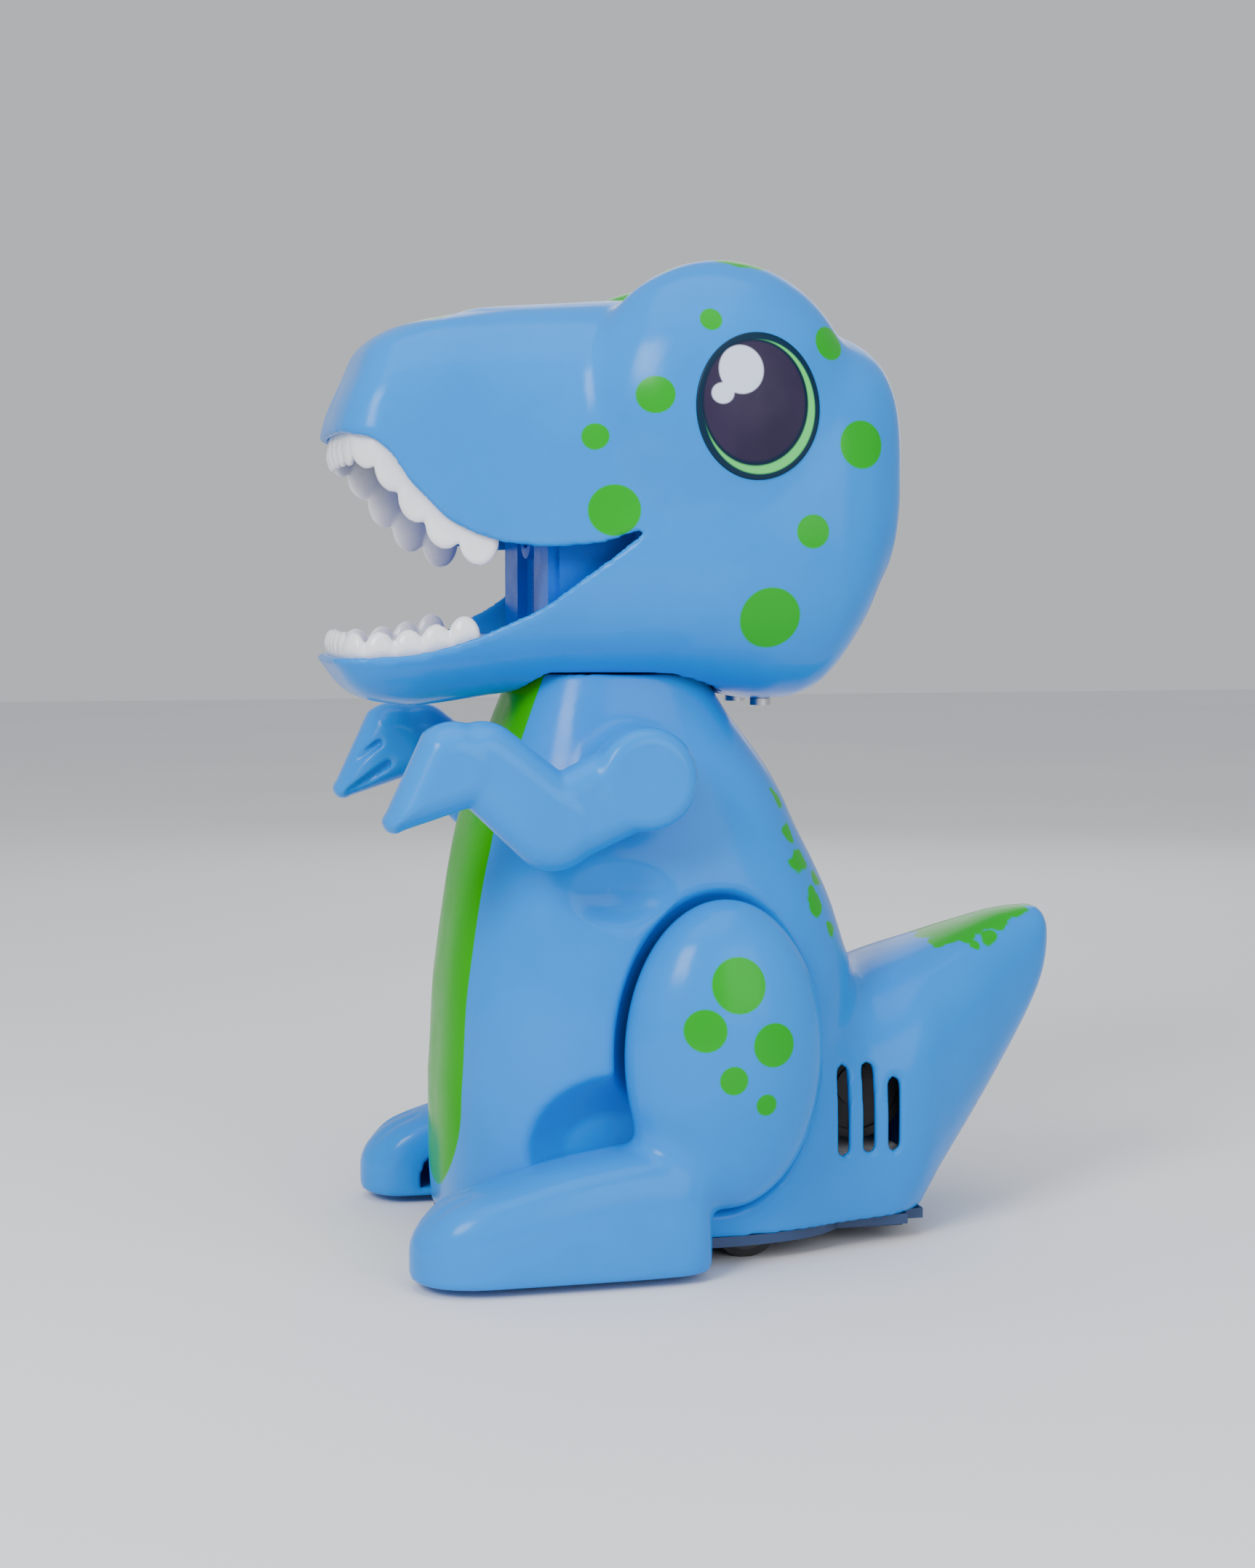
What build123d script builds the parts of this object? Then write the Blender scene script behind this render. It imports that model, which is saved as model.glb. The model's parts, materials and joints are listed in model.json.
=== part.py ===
from build123d import *
import math
import os

# A standing toy dinosaur that rolls, roars and blows bubbles from its mouth.
# Millimetres, +Z up. It faces -Y, its left side is +X, and the origin is under the middle of its
# bounding box, on the floor that its wheels stand on.

# ---------------------------------------------------------------- driving dimensions

WALL = 2.2                      # moulded shell thickness
GAP = 0.3                       # assembly gap between neighbouring mouldings
CUT = 200.0                     # size of a cutting block that clears the whole toy
HEAD_POWER = 3.2                # squareness of the head's sections, 2 being an ellipse
BODY_POWER = 3.2

# Head sections from the lips back: (y, lowest z, highest z, half width)
HEAD_SECTIONS = [
    (-95.0, 143.0, 207.0, 19.0),
    (-93.4, 138.5, 213.0, 24.5),
    (-90.0, 135.0, 219.5, 28.5),
    (-84.0, 133.2, 225.0, 30.6),
    (-75.0, 133.2, 227.3, 31.9),
    (-62.0, 134.8, 229.2, 33.3),
    (-48.0, 136.6, 230.4, 36.4),
    (-32.0, 137.5, 231.4, 41.0),
    (-16.0, 137.2, 232.0, 45.6),
    (0.0, 136.2, 232.0, 49.0),
    (13.0, 134.8, 230.4, 50.0),
    (22.0, 136.5, 227.5, 49.2),
    (30.0, 144.0, 223.0, 46.5),
    (37.0, 156.5, 217.5, 41.0),
    (42.0, 169.0, 209.0, 31.0),
    (44.0, 179.0, 199.0, 18.0),
]
HOLLOW_BACK_Y = 41.0            # the head's hollow ends flat here, short of the rounded back
BROW_CENTRE = (33.0, -2.5, 204.0)
BROW_RADII = (19.5, 34.0, 36.0)
LOWER_LIP = [(-99.0, 146.0), (-76.0, 146.6), (-56.0, 152.8), (-38.0, 163.6), (-23.5, 175.6)]
UPPER_LIP = [(-23.5, 175.6), (-38.0, 172.0), (-54.0, 172.5), (-67.5, 178.0), (-79.0, 190.8),
             (-87.0, 197.4), (-99.0, 199.5)]

EYE_CENTRE = (1.9, 204.2)       # (y, z)
EYE_SIZE = (30.2, 34.0)
STICKER_T = 0.25

# Body sections from the base up: (z, front y, back y, half width)
BODY_SECTIONS = [
    (7.0, -66.4, 36.0, 43.6),
    (20.0, -67.2, 37.0, 45.0),
    (38.0, -67.0, 37.2, 45.4),
    (57.0, -66.0, 36.6, 45.3),
    (77.0, -63.8, 33.0, 44.6),
    (92.0, -61.5, 27.8, 43.0),
    (105.0, -58.8, 21.6, 40.2),
    (118.0, -55.0, 14.4, 36.0),
    (129.0, -50.9, 7.4, 31.6),
    (139.4, -46.6, 1.0, 28.0),
]
# Tail sections from inside the body to the tip: (y, lowest z, highest z, half width)
TAIL_SECTIONS = [
    (14.0, -16.0, 58.0, 38.0),
    (28.0, -15.0, 62.0, 37.2),
    (41.0, -12.0, 66.4, 35.2),
    (50.0, -3.0, 69.4, 33.0),
    (60.0, 11.0, 72.5, 27.0),
    (72.0, 27.0, 76.2, 19.6),
    (83.0, 43.0, 79.0, 12.8),
    (90.0, 55.0, 79.4, 8.4),
    (94.0, 65.0, 76.6, 4.2),
    (95.0, 69.4, 73.6, 1.6),
]
TAIL_POWER = 3.0
BASE_Z = 7.0                    # bottom edge of the body shells
NECK_TOP_Z = 139.4

BELLY_HALF_WIDTH = 24.5
BELLY_BOTTOM_Z = 14.0

LEG_X = 46.0
THIGH_CENTRE = (LEG_X, -4.6, 52.0)
THIGH_RADII = (15.0, 24.0, 37.0)
LEG_INNER_X = 34.0
GROOVE = 2.6                    # width of the groove around the thigh
SOLE_Z = 2.0
# Foot sections from the toes back: (y, highest z, half width)
FOOT_SECTIONS = [
    (-80.0, 11.0, 8.0),
    (-78.0, 15.5, 12.0),
    (-71.0, 21.0, 15.4),
    (-58.0, 25.0, 16.4),
    (-40.0, 29.0, 16.2),
    (-24.0, 31.0, 15.0),
    (-14.0, 29.0, 12.5),
    (-9.5, 23.0, 9.0),
]
FOOT_DROP = 12.0                # how far the foot's oval sections reach below the flat sole
FOOT_SCOOP_CENTRE = (60.0, -30.0, 29.0)
FOOT_SCOOP_RADII = (28.0, 31.0, 22.5)
ELBOW_SCOOP_CENTRE = (52.0, -30.0, 92.0)
ELBOW_SCOOP_RADII = (14.0, 20.0, 12.0)

SPEAKER_SLOT_Y = (28.0, 35.2, 42.0)
SPEAKER_SLOT_TOP = (46.0, 46.0, 42.0)
SPEAKER_SLOT_BOTTOM = 24.0
SPEAKER_SLOT_W = 3.0

SHOULDER = (-25.1, 118.3)       # (y, z) of the arm's pivot
SHOULDER_R = 12.0
ARM_INNER_X = 42.4
ARM_OUTER_X = 56.8
PIN_R = 3.0
RUNNING = 0.05                  # radial clearance of a turning fit

# Mouth and bubble mechanism
LINER_T = 1.6
LINER_FLOOR_Z = 144.0
LINER_STEP_Z = 149.0            # the floor steps up over the solution tray
LINER_STEP_Y = -57.0
LINER_ROOF_Z = 188.0
BACK_WALL_Y = -41.0
NOZZLE_R = 5.5
WAND_AXIS_Z = 165.5
WAND_RING_R = 12.0
WAND_TEETH = 64
WAND_PINION_TEETH = 12
WAND_MODULE = 0.6
WAND_FRONT_Y = -36.0
WAND_T = 3.0
FAN_CENTRE = (-5.0, 193.5)      # (y, z), the fan turns about X
FAN_DRUM_R = 20.0
FAN_HALF_W = 9.0
IMPELLER_R = 16.0
FAN_BLADES = 10

# Chassis and drive turret
PLATE_T = 2.5
PLATE_Z = 4.5                   # underside of the chassis plate
TURRET_Y = -32.0
TURRET_R = 27.4
TURRET_WELL_R = 28.5
TURRET_TOP_Z = 33.0
WHEEL_R = 11.0
WHEEL_W = 5.6
WHEEL_X = 19.3                  # middle of a drive wheel
CASTER = 5.0                    # the drive axle sits this far ahead of the swivel axis
AXLE_R = 1.5
GEAR_MODULE = 0.5
PINION_TEETH = 12
REDUCTION_TEETH = 32
AXLE_GEAR_TEETH = 30
MOTOR_POS = (TURRET_Y + 6.0, 17.5)
SIDE_PLATE_X = 14.0
SIDE_PLATE_T = 1.5
POST_R = 4.0

REAR_Y = 4.0
REAR_X = 33.0
REAR_R = 8.5
REAR_W = 5.4
REAR_COVER_T = 1.6               # wall of the covers over the rear wheels
REAR_COVER_X = (REAR_X - REAR_W / 2 - 0.8 - REAR_COVER_T, REAR_X + REAR_W / 2 + 0.8 + REAR_COVER_T)
REAR_COVER_HALF_Y = REAR_R + 2.7
REAR_COVER_TOP_Z = 2 * REAR_R + 2.8

CELL_R = 7.25                   # AA cells
CELL_L = 50.5
CELL_PITCH = 15.0
CELL_Z = 14.2
FIRST_CELL_Y = 7.5
CELLS_Y = [FIRST_CELL_Y + CELL_PITCH * index for index in range(3)]
BOX_HALF_X = 29.0
BOX_Y = (-1.2, 46.2)
BOX_TOP_Z = 23.0

SCREW_R = 1.4
SCREW_HEAD_R = 2.6
BOSS_R = 3.0
BASE_SCREWS = [(30.6, -50.0), (18.0, 49.4)]     # (x, y), on both sides
HEAD_SCREW = (12.0, 13.6)                       # (x, y), on both sides
DOOR_SCREW = (24.0, 22.0)                       # (x, y)


# ---------------------------------------------------------------- shape helpers

def oval_face(plane, half_u, half_v, power, count=16):
    """A closed smooth superellipse, as a face on the given plane."""
    points = []
    for step in range(count):
        turn = 2 * math.pi * step / count
        u = half_u * math.copysign(abs(math.cos(turn)) ** (2 / power), math.cos(turn))
        v = half_v * math.copysign(abs(math.sin(turn)) ** (2 / power), math.sin(turn))
        points.append((u, v))
    return plane * make_face(Spline(*points, periodic=True))


def loft_along_y(sections, power, inset=0.0):
    """Loft ovals that stand across Y, each given as (y, lowest z, highest z, half width)."""
    faces = []
    first_y = sections[0][0]
    last_y = sections[-1][0]
    middle_y = (first_y + last_y) / 2
    length_factor = 1 - 2 * inset / (last_y - first_y)
    for y, low, high, half_width in sections:
        inner_y = middle_y + (y - middle_y) * length_factor
        plane = Plane(origin=(0, inner_y, (low + high) / 2), x_dir=(1, 0, 0), z_dir=(0, -1, 0))
        half_height = max((high - low) / 2 - inset, 0.6)
        faces.append(oval_face(plane, max(half_width - inset, 0.6), half_height, power))
    return loft(faces)


def loft_along_z(sections, power, inset=0.0):
    """Loft ovals that lie across Z, each given as (z, front y, back y, half width)."""
    faces = []
    for z, front, back, half_width in sections:
        plane = Plane(origin=(0, (front + back) / 2, z), x_dir=(1, 0, 0), z_dir=(0, 0, 1))
        faces.append(oval_face(plane, half_width - inset, (back - front) / 2 - inset, power))
    return loft(faces)


def ellipsoid(centre, radii, inset=0.0):
    """An ellipsoid lofted up Z, optionally shrunk (or grown, with a negative inset)."""
    faces = []
    for step in range(-4, 5):
        rise = math.radians(86.0 * step / 4)
        height = (radii[2] - inset) * math.sin(rise)
        plane = Plane(origin=(centre[0], centre[1], centre[2] + height),
                      x_dir=(1, 0, 0), z_dir=(0, 0, 1))
        spread = math.cos(rise)
        faces.append(oval_face(plane, (radii[0] - inset) * spread, (radii[1] - inset) * spread, 2.0))
    return loft(faces)


def block(low, high):
    """A box between two opposite corners."""
    size = [high[axis] - low[axis] for axis in range(3)]
    middle = [(high[axis] + low[axis]) / 2 for axis in range(3)]
    return Pos(*middle) * Box(*size)


def rod_x(x_from, x_to, y, z, radius):
    """A cylinder along X."""
    return Pos((x_from + x_to) / 2, y, z) * Rot(0, 90, 0) * Cylinder(radius, abs(x_to - x_from))


def rod_y(y_from, y_to, x, z, radius):
    """A cylinder along Y."""
    return Pos(x, (y_from + y_to) / 2, z) * Rot(90, 0, 0) * Cylinder(radius, abs(y_to - y_from))


def rod_z(z_from, z_to, x, y, radius):
    """A cylinder along Z."""
    return Pos(x, y, (z_from + z_to) / 2) * Cylinder(radius, abs(z_to - z_from))


def side_block(side):
    """The half of space on one side of the middle plane: +1 left, -1 right."""
    return Pos(side * CUT, 0, CUT / 2) * Box(2 * CUT, 2 * CUT, 2 * CUT)


def mirrored(shape):
    """The same shape on the other side of the toy."""
    return mirror(shape, about=Plane.YZ)


def gear_face(teeth, module, turn_deg, backlash=0.1):
    """Stub involute gear outline. The first tooth points turn_deg away from the local x axis."""
    pressure = math.radians(25)
    pitch_r = teeth * module / 2
    base_r = pitch_r * math.cos(pressure)
    tip_r = pitch_r + 0.75 * module
    root_r = pitch_r - module
    half_tooth = (math.pi * module / 2 - backlash) / (2 * pitch_r)
    at_pitch = math.tan(pressure) - pressure

    def half_angle(radius):
        if radius <= base_r:
            return half_tooth + at_pitch
        angle = math.acos(base_r / radius)
        return half_tooth + at_pitch - (math.tan(angle) - angle)

    first_r = max(root_r, base_r)
    flank = [root_r] + [first_r + (tip_r - first_r) * step / 3 for step in range(4)]
    if root_r >= base_r:
        flank = flank[1:]
    points = []
    for tooth in range(teeth):
        centre = math.radians(turn_deg) + 2 * math.pi * tooth / teeth
        for radius in flank:
            angle = centre - half_angle(radius)
            points.append((radius * math.cos(angle), radius * math.sin(angle)))
        for radius in reversed(flank):
            angle = centre + half_angle(radius)
            points.append((radius * math.cos(angle), radius * math.sin(angle)))
    return make_face(Polyline(*points, close=True))


def gear_about_x(teeth, module, x_from, x_to, y, z, turn_deg):
    """A spur gear that turns about X; turn_deg runs from +Y towards +Z."""
    plane = Plane(origin=(x_from, y, z), x_dir=(0, 1, 0), z_dir=(1, 0, 0))
    return extrude(plane * gear_face(teeth, module, turn_deg), amount=x_to - x_from)


def gear_about_y(teeth, module, y_from, y_to, x, z, turn_deg):
    """A spur gear that turns about Y; turn_deg runs from +X towards +Z."""
    plane = Plane(origin=(x, y_to, z), x_dir=(1, 0, 0), z_dir=(0, -1, 0))
    return extrude(plane * gear_face(teeth, module, turn_deg), amount=y_to - y_from)


def heading(start, end):
    """The direction from one (u, v) point to another, in degrees."""
    return math.degrees(math.atan2(end[1] - start[1], end[0] - start[0]))


# ---------------------------------------------------------------- head

def head_form(inset=0.0):
    """The head's outer form without its mouth, or the same form set inwards."""
    form = loft_along_y(HEAD_SECTIONS, HEAD_POWER, inset)
    left_brow = ellipsoid(BROW_CENTRE, BROW_RADII, inset)
    return form + left_brow + mirrored(left_brow)


def head_cavity():
    """The hollow inside the head."""
    return head_form(WALL) - block((-CUT, HOLLOW_BACK_Y, 0.0), (CUT, CUT, CUT))


def mouth_cutter():
    """The wedge of the open mouth, right across the head."""
    plane = Plane(origin=(-CUT / 2, 0, 0), x_dir=(0, 1, 0), z_dir=(1, 0, 0))
    outline = make_face([
        Spline(*LOWER_LIP),
        Spline(*UPPER_LIP),
        Line(UPPER_LIP[-1], LOWER_LIP[0]),
    ])
    return extrude(plane * outline, amount=CUT)


def neck_oval(z_from, z_to, inset):
    """An upright oval column, where the neck passes into the head."""
    _, front, back, half_width = BODY_SECTIONS[-1]
    plane = Plane(origin=(0, (front + back) / 2, z_from), x_dir=(1, 0, 0), z_dir=(0, 0, 1))
    face = oval_face(plane, half_width - inset, (back - front) / 2 - inset, BODY_POWER)
    return extrude(face, amount=z_to - z_from)


def left_head_shell(form):
    """Left half of the hollow head."""
    x, y = HEAD_SCREW
    shell = (form - side_block(-1)) - head_cavity() - mouth_cutter()
    shell = shell + rod_z(136.0, 146.0, x, y, BOSS_R) - rod_z(125.0, 144.0, x, y, SCREW_R)
    return shell - neck_oval(125.0, 142.0, -1.6)


def left_eye_sticker(outer):
    """Egg-shaped sticker that follows the head's surface."""
    y, z = EYE_CENTRE
    plane = Plane(origin=(30.0, y, z), x_dir=(0, 1, 0), z_dir=(1, 0, 0))
    prism = extrude(oval_face(plane, EYE_SIZE[0] / 2, EYE_SIZE[1] / 2, 2.0), amount=40.0)
    return (head_form(-STICKER_T) & prism) - outer


def lip_height(lip, y):
    """Height of a lip line at y, read between its points."""
    ordered = sorted(lip)
    for (y0, z0), (y1, z1) in zip(ordered, ordered[1:]):
        if y0 <= y <= y1:
            return z0 + (z1 - z0) * (y - y0) / (y1 - y0)
    return ordered[-1][1]


def head_half_width(y, z):
    """Half width of the head at (y, z), read between its sections."""
    for first, second in zip(HEAD_SECTIONS, HEAD_SECTIONS[1:]):
        if first[0] <= y <= second[0]:
            share = (y - first[0]) / (second[0] - first[0])
            low, high, half_width = [first[k] + (second[k] - first[k]) * share for k in (1, 2, 3)]
            rise = abs(2 * z - low - high) / (high - low)
            return half_width * (1 - rise ** HEAD_POWER) ** (1 / HEAD_POWER)
    return 0.0


def tooth_row(lip, rise, side_teeth, front_teeth, radius):
    """A U-shaped row of round teeth inside a lip. Side teeth run back from the front corner."""
    thickness = 2.6
    front_y = -88.0
    row = None
    corner_x = head_half_width(front_y, lip_height(lip, front_y)) - WALL - 3.4
    for index in range(front_teeth):
        x = corner_x * (2 * index / (front_teeth - 1) - 1)
        z = lip_height(lip, front_y) + rise
        tooth = rod_y(front_y - thickness / 2, front_y + thickness / 2, x, z, radius)
        row = tooth if row is None else row + tooth
    y = front_y + 2.4
    for index in range(side_teeth):
        z = lip_height(lip, y) + rise
        x = head_half_width(y, z) - WALL - thickness / 2 - 0.7
        for side in (-1, 1):
            row = row + rod_x(side * (x - thickness / 2), side * (x + thickness / 2), y, z, radius)
        slope = lip_height(lip, y + 1.0) - lip_height(lip, y)
        y = y + 1.5 * radius / math.hypot(1.0, slope)
    return row


def liner_plate(z_from, z_to, outline):
    """A flat plate in plan, symmetric about the middle, from its (y, half width) outline."""
    left = [(half_width, y) for y, half_width in outline]
    right = [(-x, y) for x, y in reversed(left)]
    face = make_face(Polyline(*(left + right), close=True))
    return Pos(0, 0, z_from) * extrude(face, amount=z_to - z_from)


def mouth_liner():
    """Floor, roof and stepped back wall inside the mouth."""
    wing_x = 29.0
    wing_end_y = -21.0
    top_z = LINER_ROOF_Z + LINER_T
    liner = liner_plate(LINER_FLOOR_Z, LINER_FLOOR_Z + LINER_T,
                        [(-87.5, 18.0), (-80.0, 22.0), (LINER_STEP_Y, 23.4)])
    liner = liner + block((-23.4, LINER_STEP_Y - LINER_T, LINER_FLOOR_Z),
                          (23.4, LINER_STEP_Y, LINER_STEP_Z + LINER_T))
    liner = liner + liner_plate(LINER_STEP_Z, LINER_STEP_Z + LINER_T,
                                [(LINER_STEP_Y - LINER_T, 26.4), (BACK_WALL_Y + LINER_T, 29.4)])
    liner = liner + liner_plate(LINER_ROOF_Z, top_z, [(-74.0, 28.0), (BACK_WALL_Y + LINER_T, 34.0)])
    liner = liner + block((-wing_x, BACK_WALL_Y, LINER_STEP_Z), (wing_x, BACK_WALL_Y + LINER_T, top_z))
    panel_t = 2.4
    for side in (-1, 1):
        panel_x = (side * 11.0, side * (wing_x - 0.5))
        liner = liner + block((min(panel_x), BACK_WALL_Y - panel_t, LINER_STEP_Z + 1.0),
                              (max(panel_x), BACK_WALL_Y + 0.5, LINER_ROOF_Z + 0.5))
        wing = (side * (wing_x - 0.8), side * (wing_x + LINER_T))
        liner = liner + block((min(wing), BACK_WALL_Y, LINER_STEP_Z + 1.0),
                              (max(wing), wing_end_y, LINER_ROOF_Z + 1.0))
        end = (side * wing_x, side * 35.0)
        liner = liner + block((min(end), wing_end_y - LINER_T, LINER_STEP_Z + 2.0),
                              (max(end), wing_end_y, LINER_ROOF_Z))
        ledge = (side * (wing_x - 0.4), side * 31.0)
        liner = liner + block((min(ledge), BACK_WALL_Y + 0.6, LINER_STEP_Z + 1.4),
                              (max(ledge), wing_end_y - 0.4, LINER_STEP_Z + 3.0))
    return liner - rod_y(-60.0, -30.0, 0.0, WAND_AXIS_Z + WAND_RING_R, NOZZLE_R + 1.5)


def bubble_nozzle():
    """The short tube that the bubbles leave by."""
    z = WAND_AXIS_Z + WAND_RING_R
    tube = rod_y(-43.4, -37.2, 0.0, z, NOZZLE_R + 1.5)
    flange = rod_y(-43.4, -41.0 - GAP / 3, 0.0, z, NOZZLE_R + 2.6)
    return tube + flange - rod_y(-50.0, -30.0, 0.0, z, NOZZLE_R)


def tongue():
    """The raised magenta tongue over the solution tray."""
    body = block((-13.0, -84.0, LINER_FLOOR_Z + LINER_T),
                 (13.0, LINER_STEP_Y - LINER_T - GAP, LINER_STEP_Z + 0.6))
    body = fillet(body.edges().filter_by(Axis.Z), 9.0)
    return fillet(body.faces().sort_by(Axis.Z)[-1].edges(), 2.4)


def wand_wheel():
    """Toothed wheel with six film rings, on its own shaft."""
    z = WAND_AXIS_Z
    pinion_turn = heading((0.0, z), wand_pinion_place())
    back_y = WAND_FRONT_Y + WAND_T
    wheel = gear_about_y(WAND_TEETH, WAND_MODULE, WAND_FRONT_Y, back_y, 0.0, z, pinion_turn)
    for index in range(6):
        angle = math.radians(90 + 60 * index)
        x = WAND_RING_R * math.cos(angle)
        ring_z = z + WAND_RING_R * math.sin(angle)
        wheel = wheel - rod_y(-50.0, -20.0, x, ring_z, 5.0)
    return wheel + rod_y(-37.5, -24.0, 0.0, z, AXLE_R)


def wand_pinion_place():
    """(x, z) of the wand pinion, in mesh with the wheel's rim."""
    distance = (WAND_TEETH + WAND_PINION_TEETH) * WAND_MODULE / 2
    angle = math.radians(20)
    return (distance * math.cos(angle), WAND_AXIS_Z + distance * math.sin(angle))


def wand_pinion():
    """Pinion on the gearmotor's output shaft."""
    x, z = wand_pinion_place()
    turn = heading((x, z), (0.0, WAND_AXIS_Z)) + 180 / WAND_PINION_TEETH
    pinion = gear_about_y(WAND_PINION_TEETH, WAND_MODULE, -36.4, -32.6, x, z, turn)
    return pinion - rod_y(-40.0, -30.0, x, z, 1.0) + rod_y(-36.4, -28.0, x, z, 1.0)


def wand_gearmotor():
    """Small gearmotor that turns the wand wheel."""
    x, z = wand_pinion_place()
    box = block((x - 6.0, -29.5, z - 5.0), (x + 6.0, -8.0, z + 5.0))
    nose = rod_y(-31.0, -29.5, x, z, 2.0)
    return box + nose - rod_y(-40.0, -27.0, x, z, 1.0 + RUNNING)


def mechanism_frame():
    """Upright plate that carries the wand shaft, the gearmotor and the air duct."""
    x, z = wand_pinion_place()
    nozzle_z = WAND_AXIS_Z + WAND_RING_R
    plate = block((-26.0, -31.2, 150.0), (28.0, -29.6, 187.0))
    plate = plate - block((-7.2, -40.0, nozzle_z - 4.7), (7.2, -20.0, nozzle_z + 4.7))
    plate = plate - rod_y(-40.0, -20.0, 0.0, WAND_AXIS_Z, AXLE_R + RUNNING)
    return plate - rod_y(-40.0, -20.0, x, z, 2.1)


def fan_housing():
    """Snail drum of the blower, with its duct to the wand wheel."""
    y, z = FAN_CENTRE
    skin = 1.5
    nozzle_z = WAND_AXIS_Z + WAND_RING_R
    drum = rod_x(-FAN_HALF_W, FAN_HALF_W, y, z, FAN_DRUM_R)
    duct = block((-7.0, -31.2, nozzle_z - 4.5), (7.0, y, nozzle_z + 4.5))
    bore = rod_x(-FAN_HALF_W + skin, FAN_HALF_W - skin, y, z, FAN_DRUM_R - skin)
    bore = bore + block((-7.0 + skin, -40.0, nozzle_z - 4.5 + skin),
                        (7.0 - skin, y, nozzle_z + 4.5 - skin))
    intake = rod_x(-20.0, 0.0, y, z, 9.0)
    shaft_hole = rod_x(0.0, 20.0, y, z, 2.0)
    return drum + duct - bore - intake - shaft_hole


def fan_impeller():
    """Bladed fan wheel."""
    y, z = FAN_CENTRE
    wheel = rod_x(4.2, 5.6, y, z, IMPELLER_R)
    wheel = wheel + rod_x(-6.0, 5.6, y, z, 3.2) + rod_x(5.6, 12.0, y, z, 1.0)
    for index in range(FAN_BLADES):
        blade = Pos(-0.5, 0, 9.0) * Box(10.0, 1.2, 12.8)
        wheel = wheel + Pos(0, y, z) * Rot(360 * index / FAN_BLADES, 0, 0) * blade
    return wheel


def fan_motor():
    """Can motor on the side of the blower."""
    y, z = FAN_CENTRE
    can = rod_x(FAN_HALF_W + 0.1, 32.0, y, z, 10.0)
    can = can & block((0.0, y - 7.6, z - 15.0), (50.0, y + 7.6, z + 15.0))
    return can - rod_x(0.0, 14.0, y, z, 1.0 + RUNNING)


def solution_tray():
    """Shallow tank that the wand wheel dips into."""
    skin = 1.0
    floor_z = 142.6
    outer = block((-22.0, -56.0, floor_z), (22.0, -31.6, LINER_STEP_Z - GAP))
    inner = block((-22.0 + skin, -55.0, floor_z + skin), (22.0 - skin, -32.6, 160.0))
    return outer - inner


# ---------------------------------------------------------------- body, tail and limbs

def trunk_form(inset=0.0):
    """The body with its tail, or the same form set inwards."""
    trunk = loft_along_z(BODY_SECTIONS, BODY_POWER, inset)
    tail = loft_along_y(TAIL_SECTIONS, TAIL_POWER, inset)
    tail = tail - block((-CUT, -CUT, -CUT), (CUT, CUT, BASE_Z))
    return trunk + tail


def leg_recess(inset):
    """The room that the left leg takes out of the body's side."""
    thigh = ellipsoid(THIGH_CENTRE, THIGH_RADII, inset - GROOVE)
    scoop = ellipsoid(FOOT_SCOOP_CENTRE, FOOT_SCOOP_RADII, inset)
    outside = block((LEG_INNER_X - GAP + inset, -CUT, -CUT), (CUT, CUT, CUT))
    recess = (thigh + scoop + foot_form(inset - 1.0)) & outside
    return recess + ellipsoid(ELBOW_SCOOP_CENTRE, ELBOW_SCOOP_RADII, inset)


def left_trunk_shell():
    """Left half of the hollow body and tail."""
    outer = (trunk_form() - side_block(-1)) - leg_recess(0.0)
    cavity = trunk_form(WALL) - leg_recess(-WALL)
    shell = outer - cavity
    rib_x, rib_y = BASE_SCREWS[1]
    shell = shell + block((rib_x, rib_y - 0.7, BASE_Z + 1.0), (28.4, rib_y + 0.7, BASE_Z + 9.0))
    for x, y in BASE_SCREWS:
        shell = shell + rod_z(BASE_Z, BASE_Z + 10.0, x, y, BOSS_R)
        shell = shell - rod_z(BASE_Z - 1.0, BASE_Z + 8.4, x, y, SCREW_R)
    shell = shell + rod_x(31.6, ARM_INNER_X - GAP, SHOULDER[0], SHOULDER[1], 8.5)
    shell = shell - rod_x(20.0, 60.0, SHOULDER[0], SHOULDER[1], PIN_R + RUNNING)
    for y, top in zip(SPEAKER_SLOT_Y, SPEAKER_SLOT_TOP):
        radius = SPEAKER_SLOT_W / 2
        slot = block((15.0, y - radius, SPEAKER_SLOT_BOTTOM), (60.0, y + radius, top - radius))
        shell = shell - slot - rod_x(15.0, 60.0, y, top - radius, radius)
    return shell - rear_cover(GAP)


def belly_outline():
    """Upright prism around the belly panel, in front of the body's middle."""
    plane = Plane(origin=(0, 0, 0), x_dir=(1, 0, 0), z_dir=(0, -1, 0))
    arc_z = BELLY_BOTTOM_Z + BELLY_HALF_WIDTH
    top_half = 19.0
    outline = make_face([
        Line((-top_half, 150.0), (top_half, 150.0)),
        Line((top_half, 150.0), (BELLY_HALF_WIDTH, 100.0)),
        Line((BELLY_HALF_WIDTH, 100.0), (BELLY_HALF_WIDTH, arc_z)),
        ThreePointArc((BELLY_HALF_WIDTH, arc_z), (0.0, BELLY_BOTTOM_Z), (-BELLY_HALF_WIDTH, arc_z)),
        Line((-BELLY_HALF_WIDTH, arc_z), (-BELLY_HALF_WIDTH, 100.0)),
        Line((-BELLY_HALF_WIDTH, 100.0), (-top_half, 150.0)),
    ])
    return Pos(0, -30.0, 0) * extrude(plane * outline, amount=60.0)


def left_leg():
    """Hollow thigh and foot, open towards the body."""
    outside = block((LEG_INNER_X, -CUT, SOLE_Z), (CUT, CUT, CUT))
    thigh_room = ellipsoid(THIGH_CENTRE, THIGH_RADII, WALL)
    foot_room = foot_form(WALL) - block((-CUT, -CUT, -CUT), (CUT, CUT, SOLE_Z + WALL))
    thigh = (ellipsoid(THIGH_CENTRE, THIGH_RADII) & outside) - thigh_room - foot_room
    foot = (foot_form(0.0) & outside) - foot_room - thigh_room
    return thigh + foot


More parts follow.
